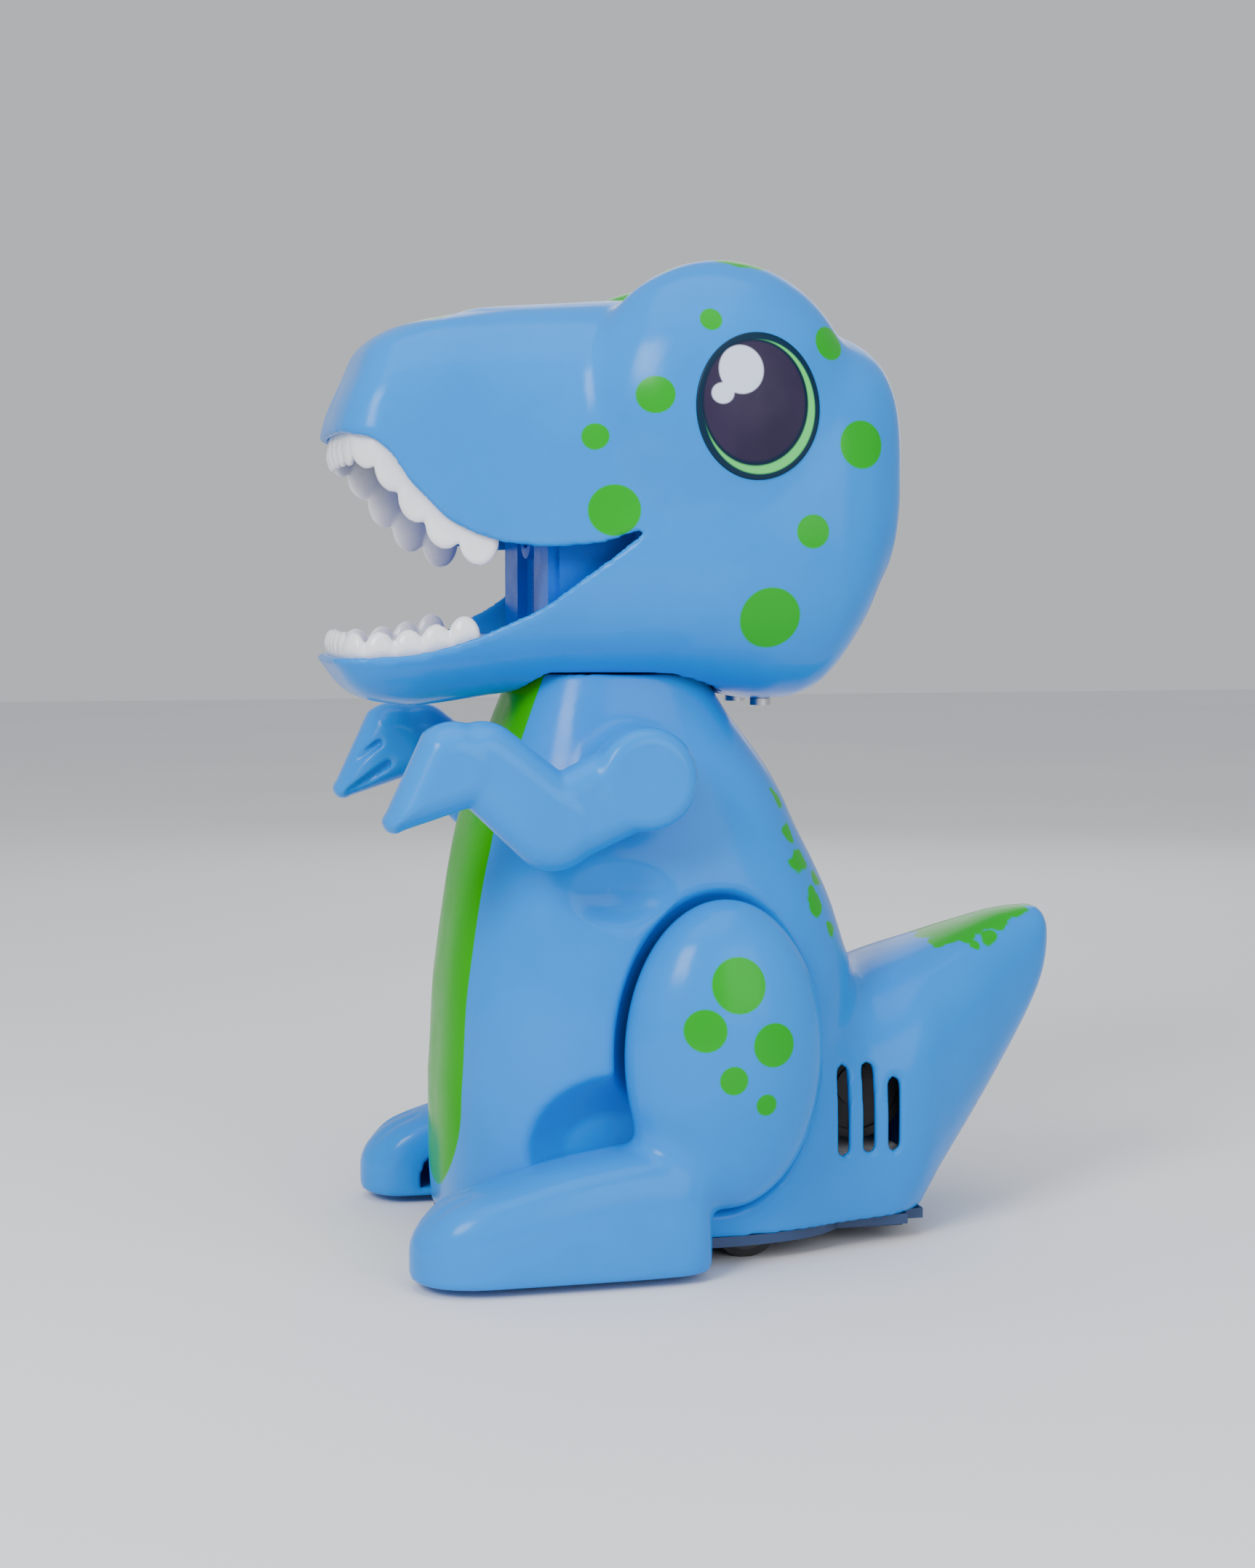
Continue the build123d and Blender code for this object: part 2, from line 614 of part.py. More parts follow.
def foot_form(inset):
    """Rounded foot, before its sole is cut flat."""
    sections = []
    for y, top, half_width in FOOT_SECTIONS:
        sections.append((y, SOLE_Z - FOOT_DROP, top, half_width))
    return Pos(LEG_X, 0, 0) * loft_along_y(sections, BODY_POWER, inset)


def left_arm():
    """Bent arm with a mitten hand, in one moulding."""
    y, z = SHOULDER
    plane = Plane(origin=(ARM_INNER_X, 0, 0), x_dir=(0, 1, 0), z_dir=(1, 0, 0))
    width = ARM_OUTER_X - ARM_INNER_X
    outline = make_face(Polyline(
        (y - 2.0, z + 11.6), (-42.5, 119.0), (-60.0, 133.6), (-73.5, 131.6), (-80.5, 125.6),
        (-84.6, 116.0), (-85.2, 107.0), (-78.5, 108.0), (-68.0, 113.0), (-49.5, 97.0),
        (y + 3.0, z - 11.6), close=True))
    arm = extrude(plane * outline, amount=width) + rod_x(ARM_INNER_X, ARM_OUTER_X, y, z, SHOULDER_R)
    rounded = arm.faces().sort_by(Axis.X)[-1].edges()
    arm = chamfer(rounded, 2.4)
    return arm - rod_x(ARM_INNER_X - 1.0, ARM_INNER_X + 8.0, y, z, PIN_R)


def left_shoulder_pin():
    """Pin pressed into the arm, turning in the body's wall, with a retaining head inside."""
    y, z = SHOULDER
    return rod_x(29.5, ARM_INNER_X + 8.0, y, z, PIN_R) + rod_x(29.5, 31.0, y, z, PIN_R + 2.0)


def neck_collar():
    """Ring that centres the head on the neck."""
    return neck_oval(NECK_TOP_Z + GAP, NECK_TOP_Z + 2.3, -1.2) - neck_oval(130.0, 150.0, 3.0)


# ---------------------------------------------------------------- chassis and drive

def plate_outline(z, inset):
    """Plan outline of the base: the body's lowest section and the root of the tail."""
    _, front, back, half_width = BODY_SECTIONS[0]
    plane = Plane(origin=(0, (front + back) / 2, z), x_dir=(1, 0, 0), z_dir=(0, 0, 1))
    return oval_face(plane, half_width - inset, (back - front) / 2 - inset, BODY_POWER)


def rear_cover(grow):
    """Block that the left rear wheel's cover fills, or its room with a negative grow."""
    return block((REAR_COVER_X[0] - grow, REAR_Y - REAR_COVER_HALF_Y - grow, PLATE_Z),
                 (REAR_COVER_X[1] + grow, REAR_Y + REAR_COVER_HALF_Y + grow, REAR_COVER_TOP_Z + grow))


def chassis_base():
    """Base plate with the turret's well, the wheel wells and the battery opening."""
    skin = 1.6
    plate = extrude(plate_outline(PLATE_Z, 1.0), amount=PLATE_T)
    plate = plate + block((-30.6, 20.0, PLATE_Z), (30.6, 47.0, BASE_Z))
    plate = plate + block((-26.0, 20.0, PLATE_Z), (26.0, 52.6, BASE_Z))
    well = rod_z(PLATE_Z, TURRET_TOP_Z + 3.5, 0.0, TURRET_Y, TURRET_WELL_R + skin)
    plate = plate + well
    cover = rear_cover(0.0)
    plate = plate + cover + mirrored(cover)
    plate = plate - block((-BOX_HALF_X - 0.1, BOX_Y[0] - 0.1, -10.0),
                          (BOX_HALF_X + 0.1, BOX_Y[1] + 0.1, 60.0))
    room = rear_cover(-REAR_COVER_T) + rear_cover(-REAR_COVER_T).translate((0, 0, -REAR_R))
    plate = plate - room - mirrored(room)
    for side in (-1, 1):
        plate = plate - rod_x(side * (BOX_HALF_X + 0.1), side * 39.0, REAR_Y, REAR_R, AXLE_R)
        for x, y in BASE_SCREWS:
            plate = plate - rod_z(0.0, 20.0, side * x, y, SCREW_R)
            plate = plate - rod_z(0.0, PLATE_Z + 1.0, side * x, y, SCREW_HEAD_R + 0.1)
    recess = leg_recess(0.0)
    plate = plate - recess - mirrored(recess)
    plate = plate - rod_z(-10.0, TURRET_TOP_Z + 1.2, 0.0, TURRET_Y, TURRET_WELL_R)
    plate = plate - rod_z(0.0, 60.0, 0.0, TURRET_Y, POST_R + RUNNING)
    return plate - block((-5.0, 47.4, -10.0), (5.0, 50.2, 60.0))


def turret_frame():
    """Swivelling floor with two upright side plates for the gear train."""
    y = TURRET_Y
    floor = rod_z(PLATE_Z, PLATE_Z + 1.6, 0.0, y, TURRET_R)
    frame = floor
    for side in (-1, 1):
        inner = side * SIDE_PLATE_X
        outer = side * (SIDE_PLATE_X + SIDE_PLATE_T)
        plate = block((min(inner, outer), y - 10.0, PLATE_Z),
                      (max(inner, outer), y + 14.0, TURRET_TOP_Z - 2.5))
        frame = frame + plate
        slot_inner = side * (WHEEL_X - WHEEL_W / 2 - 0.7)
        slot_outer = side * (WHEEL_X + WHEEL_W / 2 + 0.7)
        slot = block((min(slot_inner, slot_outer), y - CASTER - WHEEL_R - 0.5, -10.0),
                     (max(slot_inner, slot_outer), y - CASTER + WHEEL_R + 0.5, PLATE_Z + 5.0))
        frame = frame - slot
    frame = frame - block((10.6, y - CASTER - 9.0, -10.0),
                          (SIDE_PLATE_X - 0.01, y - CASTER + 9.0, PLATE_Z + 5.0))
    frame = frame - rod_x(-30.0, 30.0, y - CASTER, WHEEL_R, AXLE_R + RUNNING)
    pin_y, pin_z = reduction_place()
    return frame - rod_x(0.0, 30.0, pin_y, pin_z, 1.0)


def turret_cover():
    """Top plate of the turret, with the swivel post."""
    y = TURRET_Y
    top = rod_z(TURRET_TOP_Z - 2.5, TURRET_TOP_Z, 0.0, y, TURRET_R - 2.0)
    top = top + rod_z(TURRET_TOP_Z, TURRET_TOP_Z + 4.4, 0.0, y, POST_R)
    return top - rod_z(20.0, 60.0, 0.0, y, SCREW_R)


def turret_screw():
    """Screw and washer that hold the turret's post in the chassis."""
    y = TURRET_Y
    top = TURRET_TOP_Z + 4.4
    screw = rod_z(TURRET_TOP_Z - 2.0, top, 0.0, y, SCREW_R)
    washer = rod_z(top, top + 1.0, 0.0, y, POST_R + 2.5)
    return screw + washer + rod_z(top + 1.0, top + 2.6, 0.0, y, SCREW_HEAD_R)


def reduction_place():
    """(y, z) of the reduction gear: in mesh with both the motor pinion and the axle gear."""
    to_motor = (PINION_TEETH + REDUCTION_TEETH) * GEAR_MODULE / 2
    to_axle = (PINION_TEETH + AXLE_GEAR_TEETH) * GEAR_MODULE / 2
    axle = (TURRET_Y - CASTER, WHEEL_R)
    span_y = MOTOR_POS[0] - axle[0]
    span_z = MOTOR_POS[1] - axle[1]
    span = math.hypot(span_y, span_z)
    along = (to_axle ** 2 - to_motor ** 2 + span ** 2) / (2 * span)
    across = math.sqrt(to_axle ** 2 - along ** 2)
    return (axle[0] + (along * span_y - across * span_z) / span,
            axle[1] + (along * span_z + across * span_y) / span)


def drive_motor():
    """Can motor lying across the turret."""
    y, z = MOTOR_POS
    can = rod_x(-13.0, 7.0, y, z, 7.8) & block((-20.0, y - 6.1, 0.0), (20.0, y + 6.1, 50.0))
    return can - rod_x(3.0, 20.0, y, z, 0.8 + RUNNING)


def drive_pinion():
    """Brass pinion on the motor's shaft."""
    y, z = MOTOR_POS
    turn = heading((y, z), reduction_place())
    return gear_about_x(PINION_TEETH, GEAR_MODULE, 7.8, 10.4, y, z, turn) + rod_x(4.0, 7.8, y, z, 0.8)


def reduction_gear():
    """Compound gear: the large ring meets the pinion, the small one meets the axle gear."""
    y, z = reduction_place()
    large_turn = heading((y, z), MOTOR_POS) + 180 / REDUCTION_TEETH
    small_turn = heading((y, z), (TURRET_Y - CASTER, WHEEL_R))
    large = gear_about_x(REDUCTION_TEETH, GEAR_MODULE, 8.2, 10.2, y, z, large_turn)
    small = gear_about_x(PINION_TEETH, GEAR_MODULE, 10.2, 13.4, y, z, small_turn)
    return large + small - rod_x(0.0, 20.0, y, z, 1.0 + RUNNING)


def reduction_pin():
    """Steel pin of the reduction gear, pressed into the side plate."""
    y, z = reduction_place()
    return rod_x(7.4, SIDE_PLATE_X + SIDE_PLATE_T, y, z, 1.0)


def axle_gear():
    """Gear pressed onto the drive axle."""
    y = TURRET_Y - CASTER
    turn = heading((y, WHEEL_R), reduction_place()) + 180 / AXLE_GEAR_TEETH
    gear = gear_about_x(AXLE_GEAR_TEETH, GEAR_MODULE, 11.0, 13.2, y, WHEEL_R, turn)
    return gear - rod_x(0.0, 20.0, y, WHEEL_R, AXLE_R)


def wheel_hub(x, y, radius, width, bore_r):
    """Ribbed plastic wheel centre."""
    hub = rod_x(x - width / 2, x + width / 2, y, radius, radius - 1.8)
    dish = rod_x(x - width / 2, x - width / 2 + 1.4, y, radius, radius - 3.2)
    dish = dish + rod_x(x + width / 2 - 1.4, x + width / 2, y, radius, radius - 3.2)
    boss = rod_x(x - width / 2, x + width / 2, y, radius, 3.2)
    return hub - dish + boss - rod_x(x - width, x + width, y, radius, bore_r)


def tyre(x, y, radius, width):
    """Rubber tyre with a grooved tread."""
    ring = rod_x(x - width / 2, x + width / 2, y, radius, radius)
    for offset in (-1.2, 1.2):
        groove = rod_x(x + offset - 0.3, x + offset + 0.3, y, radius, radius + 1.0)
        ring = ring - (groove - rod_x(x + offset - 0.3, x + offset + 0.3, y, radius, radius - 0.6))
    return ring - rod_x(x - width, x + width, y, radius, radius - 1.8)


def rear_axle_pins():
    """Two stub pins for the rear wheels."""
    pins = None
    for side in (-1, 1):
        pin = rod_x(side * (BOX_HALF_X + 0.2), side * 38.6, REAR_Y, REAR_R, AXLE_R)
        pins = pin if pins is None else pins + pin
    return pins


def battery_box():
    """Open-bottomed box for three cells side by side."""
    skin = 1.2
    box = block((-BOX_HALF_X, BOX_Y[0], BASE_Z - 1.0), (BOX_HALF_X, BOX_Y[1], BOX_TOP_Z))
    return box - block((-BOX_HALF_X + skin, BOX_Y[0] + skin, -10.0),
                       (BOX_HALF_X - skin, BOX_Y[1] - skin, BOX_TOP_Z - skin))


def battery_cells():
    """Three AA cells, each with its positive button."""
    cells = None
    for index, y in enumerate(CELLS_Y):
        end = 1 if index % 2 == 0 else -1
        length = CELL_L - 1.2
        cell = rod_x(-length / 2, length / 2, y, CELL_Z, CELL_R)
        cell = cell + rod_x(end * length / 2, end * (length / 2 + 1.2), y, CELL_Z, 2.7)
        cells = cell if cells is None else cells + cell
    return cells


def battery_contacts():
    """Contact plates at both ends of the cells."""
    contacts = None
    for side in (-1, 1):
        for y in CELLS_Y:
            x_near = side * (BOX_HALF_X - 1.9)
            x_far = side * (BOX_HALF_X - 1.25)
            plate = block((min(x_near, x_far), y - 5.0, CELL_Z - 5.0),
                          (max(x_near, x_far), y + 5.0, CELL_Z + 5.0))
            contacts = plate if contacts is None else contacts + plate
    return contacts


def battery_door():
    """Flat door under the cells, with grip ribs and a screw hole."""
    door = block((-BOX_HALF_X, BOX_Y[0], PLATE_Z - 0.7), (BOX_HALF_X, BOX_Y[1], BASE_Z - 1.0 - 0.05))
    x, y = DOOR_SCREW
    door = door - rod_z(0.0, 20.0, x, y, SCREW_R + 0.1)
    door = door - rod_z(0.0, PLATE_Z + 0.4, x, y, SCREW_HEAD_R + 0.2)
    for index in range(5):
        y = 30.0 + 2.4 * index
        door = door - block((-12.0, y, 0.0), (12.0, y + 1.0, PLATE_Z - 0.1))
    return door


def battery_door_screw():
    """Captive screw of the battery door."""
    x, y = DOOR_SCREW
    head = rod_z(PLATE_Z - 0.6, PLATE_Z + 0.4, x, y, SCREW_HEAD_R)
    return head + rod_z(PLATE_Z + 0.4, 5.9, x, y, SCREW_R)


def power_switch():
    """Sliding knob of the power switch, under the root of the tail."""
    knob = block((-3.6, 47.6, PLATE_Z - 1.2), (-0.6, 50.0, BASE_Z + 1.6))
    return knob + block((-4.4, 47.6, BASE_Z + 0.2), (0.2, 50.0, BASE_Z + 1.6))


def switch_housing():
    """Housing of the power switch, on top of the base plate."""
    box = block((-8.0, 46.4, BASE_Z), (8.0, 51.4, BASE_Z + 5.0))
    return box - block((-5.4, 47.4, 0.0), (5.4, 50.2, BASE_Z + 2.2))


def speaker():
    """Small round speaker behind the left slots."""
    y = SPEAKER_SLOT_Y[1]
    z = 38.6
    frame = rod_x(16.0, 25.0, y, z, 8.0) + rod_x(22.6, 25.0, y, z, 13.0)
    return frame - rod_x(23.8, 30.0, y, z, 11.0) + rod_x(22.6, 24.6, y, z, 5.0)


def circuit_board():
    """Control board with its chip and two capacitors."""
    board = block((-18.0, 4.0, 62.0), (18.0, 5.6, 98.0)) + block((-6.0, 2.4, 72.0), (6.0, 4.0, 84.0))
    return board + rod_y(-3.0, 4.0, 12.0, 90.0, 3.0) + rod_y(-3.0, 4.0, -12.0, 90.0, 3.0)


def screws_up(places, head_z, length):
    """Identical screws driven upwards, on both sides of the toy."""
    group = None
    for x, y in places:
        for side in (-1, 1):
            screw = rod_z(head_z, head_z + 1.6, side * x, y, SCREW_HEAD_R)
            screw = screw + rod_z(head_z + 1.6, head_z + length, side * x, y, SCREW_R)
            group = screw if group is None else group + screw
    return group


# ---------------------------------------------------------------- export

def save(name, shape):
    """Write one node."""
    export_step(shape, "parts/" + name + ".step")
    print(name, round(shape.volume, 1), len(shape.solids()))


def main():
    os.makedirs("parts", exist_ok=True)
    head_outer = head_form()
    head_shell = left_head_shell(head_outer)
    save("head_shell_left", head_shell)
    save("head_shell_right", mirrored(head_shell))
    sticker = left_eye_sticker(head_outer)
    save("left_eye_sticker", sticker)
    save("right_eye_sticker", mirrored(sticker))
    fit_form = head_form(WALL + GAP)
    upper = tooth_row(UPPER_LIP, 1.0, 7, 8, 4.4)
    lower = tooth_row(LOWER_LIP, -0.4, 6, 7, 3.8)
    save("upper_teeth", upper & fit_form)
    save("lower_teeth", lower & fit_form)
    save("mouth_liner", mouth_liner() - upper - lower)
    save("bubble_nozzle", bubble_nozzle())
    save("tongue", tongue())
    save("wand_wheel", wand_wheel())
    save("wand_pinion", wand_pinion())
    save("wand_gearmotor", wand_gearmotor())
    save("mechanism_frame", mechanism_frame())
    save("fan_housing", fan_housing())
    save("fan_impeller", fan_impeller())
    save("fan_motor", fan_motor())
    save("solution_tray", solution_tray())
    trunk_shell = left_trunk_shell()
    outline = belly_outline()
    half_belly = trunk_shell & outline
    save("belly_panel", half_belly + mirrored(half_belly))
    body_shell = trunk_shell - outline
    save("body_shell_left", body_shell)
    save("body_shell_right", mirrored(body_shell))
    leg = left_leg()
    save("left_leg", leg)
    save("right_leg", mirrored(leg))
    arm = left_arm()
    save("left_arm", arm)
    save("right_arm", mirrored(arm))
    pin = left_shoulder_pin()
    save("left_shoulder_pin", pin)
    save("right_shoulder_pin", mirrored(pin))
    save("neck_collar", neck_collar())
    save("chassis_base", chassis_base())
    save("turret_frame", turret_frame())
    save("turret_cover", turret_cover())
    save("turret_screw", turret_screw())
    save("drive_motor", drive_motor())
    save("drive_pinion", drive_pinion())
    save("reduction_gear", reduction_gear())
    save("reduction_pin", reduction_pin())
    drive_y = TURRET_Y - CASTER
    save("drive_axle", rod_x(-22.5, 22.5, drive_y, WHEEL_R, AXLE_R))
    save("axle_gear", axle_gear())
    for side, word in ((1, "left"), (-1, "right")):
        save("drive_wheel_" + word, wheel_hub(side * WHEEL_X, drive_y, WHEEL_R, WHEEL_W, AXLE_R))
        save("drive_tyre_" + word, tyre(side * WHEEL_X, drive_y, WHEEL_R, WHEEL_W))
        save("rear_wheel_" + word, wheel_hub(side * REAR_X, REAR_Y, REAR_R, REAR_W, AXLE_R + RUNNING))
        save("rear_tyre_" + word, tyre(side * REAR_X, REAR_Y, REAR_R, REAR_W))
    save("rear_axle_pins", rear_axle_pins())
    save("battery_box", battery_box())
    save("battery_cells", battery_cells())
    save("battery_contacts", battery_contacts())
    save("battery_door", battery_door())
    save("battery_door_screw", battery_door_screw())
    save("power_switch", power_switch())
    save("switch_housing", switch_housing())
    save("base_screws", screws_up(BASE_SCREWS, PLATE_Z - 0.6, 9.0))
    save("head_screws", screws_up([HEAD_SCREW], 133.2, 9.0))
    save("speaker", speaker())
    save("circuit_board", circuit_board())


main()
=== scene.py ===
import json
import math

import bpy
import numpy as np
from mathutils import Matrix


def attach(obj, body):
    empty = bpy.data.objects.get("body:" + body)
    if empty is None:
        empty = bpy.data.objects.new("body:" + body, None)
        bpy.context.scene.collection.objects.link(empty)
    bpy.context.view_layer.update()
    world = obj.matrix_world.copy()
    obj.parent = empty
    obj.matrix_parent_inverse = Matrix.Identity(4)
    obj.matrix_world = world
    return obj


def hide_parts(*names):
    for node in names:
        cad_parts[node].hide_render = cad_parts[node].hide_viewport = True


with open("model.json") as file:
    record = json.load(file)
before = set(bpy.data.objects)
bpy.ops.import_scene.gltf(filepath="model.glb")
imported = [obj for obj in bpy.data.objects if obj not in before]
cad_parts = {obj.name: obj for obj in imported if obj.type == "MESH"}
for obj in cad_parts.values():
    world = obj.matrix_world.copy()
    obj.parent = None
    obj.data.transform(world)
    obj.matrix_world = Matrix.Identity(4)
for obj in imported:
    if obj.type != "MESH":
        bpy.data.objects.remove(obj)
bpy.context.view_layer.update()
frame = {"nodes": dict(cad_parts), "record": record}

import openvdb
from mathutils import Vector

# A glossy blue toy dinosaur. Shapes are worked out in millimetres, in the CAD's frame:
# +Z up, the toy faces -Y and its left side is +X. Each mesh is written in metres.

MM = 0.001
WALL = 2.2                  # moulded shell thickness
GAP = 0.3                   # gap between neighbouring mouldings

# ---------------------------------------------------------------- camera

PHOTO_AZIMUTH = 77.0        # the toy's left side, a little from the front
PHOTO_ELEVATION = 4.5
CAMERA_DISTANCE = 0.640
CAMERA_TARGET = Vector((0.0, -0.0175, 0.113))
SENSOR_HEIGHT = 36.0        # millimetres, as the lens
LENS = 58.4


def add_camera():
    data = bpy.data.cameras.new("camera")
    data.sensor_fit = "VERTICAL"
    data.sensor_height = SENSOR_HEIGHT
    data.lens = LENS
    data.clip_start = 0.01
    azimuth = math.radians(PHOTO_AZIMUTH)
    elevation = math.radians(PHOTO_ELEVATION)
    away = Vector((math.cos(elevation) * math.sin(azimuth), -math.cos(elevation) * math.cos(azimuth),
                   math.sin(elevation)))
    camera = bpy.data.objects.new("camera", data)
    camera.location = CAMERA_TARGET + away * CAMERA_DISTANCE
    camera.rotation_euler = (-away).to_track_quat("-Z", "Y").to_euler()
    bpy.context.scene.collection.objects.link(camera)
    bpy.context.scene.camera = camera


add_camera()

# ---------------------------------------------------------------- distance fields


class Grid:
    """A box of sample points, in millimetres."""

    def __init__(self, low, high, step):
        self.low = np.array(low, float)
        self.step = step
        axes = [np.arange(a, b + step, step, dtype=np.float32) for a, b in zip(low, high)]
        self.x = axes[0][:, None, None]
        self.y = axes[1][None, :, None]
        self.z = axes[2][None, None, :]
        self.shape = tuple(len(axis) for axis in axes)


def profile(points):
    """A smooth curve through (u, value) points, without overshoot."""
    u, v = np.array(sorted(points), float).T
    steps = np.diff(u)
    slopes = np.diff(v) / steps
    tangents = np.concatenate([[slopes[0]], np.zeros(len(u) - 2), [slopes[-1]]])
    for k in range(1, len(u) - 1):
        if slopes[k - 1] * slopes[k] > 0:
            tangents[k] = 2 * slopes[k - 1] * slopes[k] / (slopes[k - 1] + slopes[k])

    def read(at):
        k = np.clip(np.searchsorted(u, at) - 1, 0, len(u) - 2)
        t = np.clip((at - u[k]) / steps[k], 0.0, 1.0)
        value = ((1 + 2 * t) * (1 - t) ** 2 * v[k] + t * (1 - t) ** 2 * steps[k] * tangents[k]
                 + t * t * (3 - 2 * t) * v[k + 1] + t * t * (t - 1) * steps[k] * tangents[k + 1])
        return value.astype(np.float32)

    return read


def smooth_union(a, b, blend):
    share = np.maximum(blend - np.abs(a - b), 0.0) / blend
    return np.minimum(a, b) - share * share * blend / 4


def smooth_cut(a, b, blend):
    """a with b taken away, the edge rounded by blend."""
    return -smooth_union(-a, b, blend)


def smooth_common(a, b, blend):
    return -smooth_union(-a, -b, blend)


def to_distance(grid, values):
    """Turns any smooth inside-outside function into a distance, good near its surface."""
    values = np.broadcast_to(values, grid.shape).astype(np.float32)
    gx, gy, gz = np.gradient(values, grid.step)
    return values / np.maximum(np.sqrt(gx * gx + gy * gy + gz * gz), 1e-4)


def superellipse(u, half_u, v, half_v, power):
    return (np.abs(u / half_u) ** power + np.abs(v / half_v) ** power) ** (1.0 / power) - 1.0


def ellipsoid(grid, centre, radii, grow=0.0):
    dx = grid.x - centre[0]
    dy = grid.y - centre[1]
    dz = grid.z - centre[2]
    r = [radius + grow for radius in radii]
    near = np.sqrt((dx / r[0]) ** 2 + (dy / r[1]) ** 2 + (dz / r[2]) ** 2)
    slope = np.sqrt((dx / r[0] ** 2) ** 2 + (dy / r[1] ** 2) ** 2 + (dz / r[2] ** 2) ** 2)
    return near * (near - 1.0) / np.maximum(slope, 1e-5)


def capsule(u, v, start, end, start_r, end_r, w=0.0):
    """Distance to a tapered rod in the plane of u and v, with w the distance from that plane."""
    run_u = end[0] - start[0]
    run_v = end[1] - start[1]
    along = ((u - start[0]) * run_u + (v - start[1]) * run_v) / (run_u ** 2 + run_v ** 2)
    along = np.clip(along, 0.0, 1.0)
    du = u - start[0] - along * run_u
    dv = v - start[1] - along * run_v
    return np.sqrt(du * du + dv * dv + w * w) - (start_r + (end_r - start_r) * along)


def pillow(flat, across, half_thickness, radius):
    """A flat outline given thickness, with well rounded edges."""
    a = flat + radius
    b = np.abs(across) - half_thickness + radius
    outside = np.sqrt(np.maximum(a, 0.0) ** 2 + np.maximum(b, 0.0) ** 2)
    inside = np.minimum(np.maximum(a, b), 0.0)
    return outside + inside - radius


def read_field(values, grid, points):
    """Field values at any points, by linear interpolation."""
    at = (np.asarray(points, float) - grid.low) / grid.step
    base = np.clip(np.floor(at).astype(int), 0, np.array(values.shape) - 2)
    part = at - base
    total = 0.0
    for corner in range(8):
        step = np.array([(corner >> axis) & 1 for axis in range(3)])
        weight = np.prod(np.where(step == 1, part, 1 - part), axis=-1)
        index = base + step
        total = total + weight * values[index[..., 0], index[..., 1], index[..., 2]]
    return total


def add_mesh(name, grid, values, body, material, replaces=(), slot=None):
    """The surface where the field is zero, as a closed smooth mesh that rides on a body."""
    volume = openvdb.FloatGrid(5.0)
    volume.copyFromArray(np.array(np.broadcast_to(values, grid.shape), dtype=np.float32, order="C"))
    points, quads = volume.convertToQuads()
    points = (points * grid.step + grid.low) * MM
    corners = points[quads]
    normals = np.cross(corners[:, 2] - corners[:, 0], corners[:, 3] - corners[:, 1])
    if np.sum(corners.mean(axis=1) * normals) < 0:
        quads = quads[:, ::-1]
    mesh = bpy.data.meshes.new(name)
    mesh.vertices.add(len(points))
    mesh.vertices.foreach_set("co", points.astype(np.float32).ravel())
    mesh.loops.add(len(quads) * 4)
    mesh.loops.foreach_set("vertex_index", np.ascontiguousarray(quads, dtype=np.int32).ravel())
    mesh.polygons.add(len(quads))
    mesh.polygons.foreach_set("loop_start", np.arange(0, len(quads) * 4, 4, dtype=np.int32))
    mesh.polygons.foreach_set("use_smooth", np.ones(len(quads), dtype=bool))
    mesh.update(calc_edges=True)
    mesh.validate()
    return place(name, mesh, body, material, replaces, slot)


def place(name, mesh, body, material, replaces=(), slot=None):
    piece = bpy.data.objects.new(name, mesh)
    bpy.context.scene.collection.objects.link(piece)
    mesh.materials.append(material)
    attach(piece, body)
    if replaces:
        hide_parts(*replaces)
    return piece


# ---------------------------------------------------------------- materials

SKY_BLUE = (0.0, 0.23, 0.72, 1.0)
LEAF_GREEN = (0.014, 0.34, 0.0, 1.0)
SPOT_GREEN = (0.0, 0.34, 0.012, 1.0)
BLUE_SPECULAR = 0.16
BELLY_SPECULAR = 0.03       # calmer, because the belly is seen at a grazing angle
BELLY_HALF = 0.0245         # metres, as the rest of the belly's outline
BELLY_NARROWS_Z = 0.100
BELLY_ROUND_Z = 0.0385
BELLY_TAPER = 0.11
BELLY_BACK_Y = -0.030


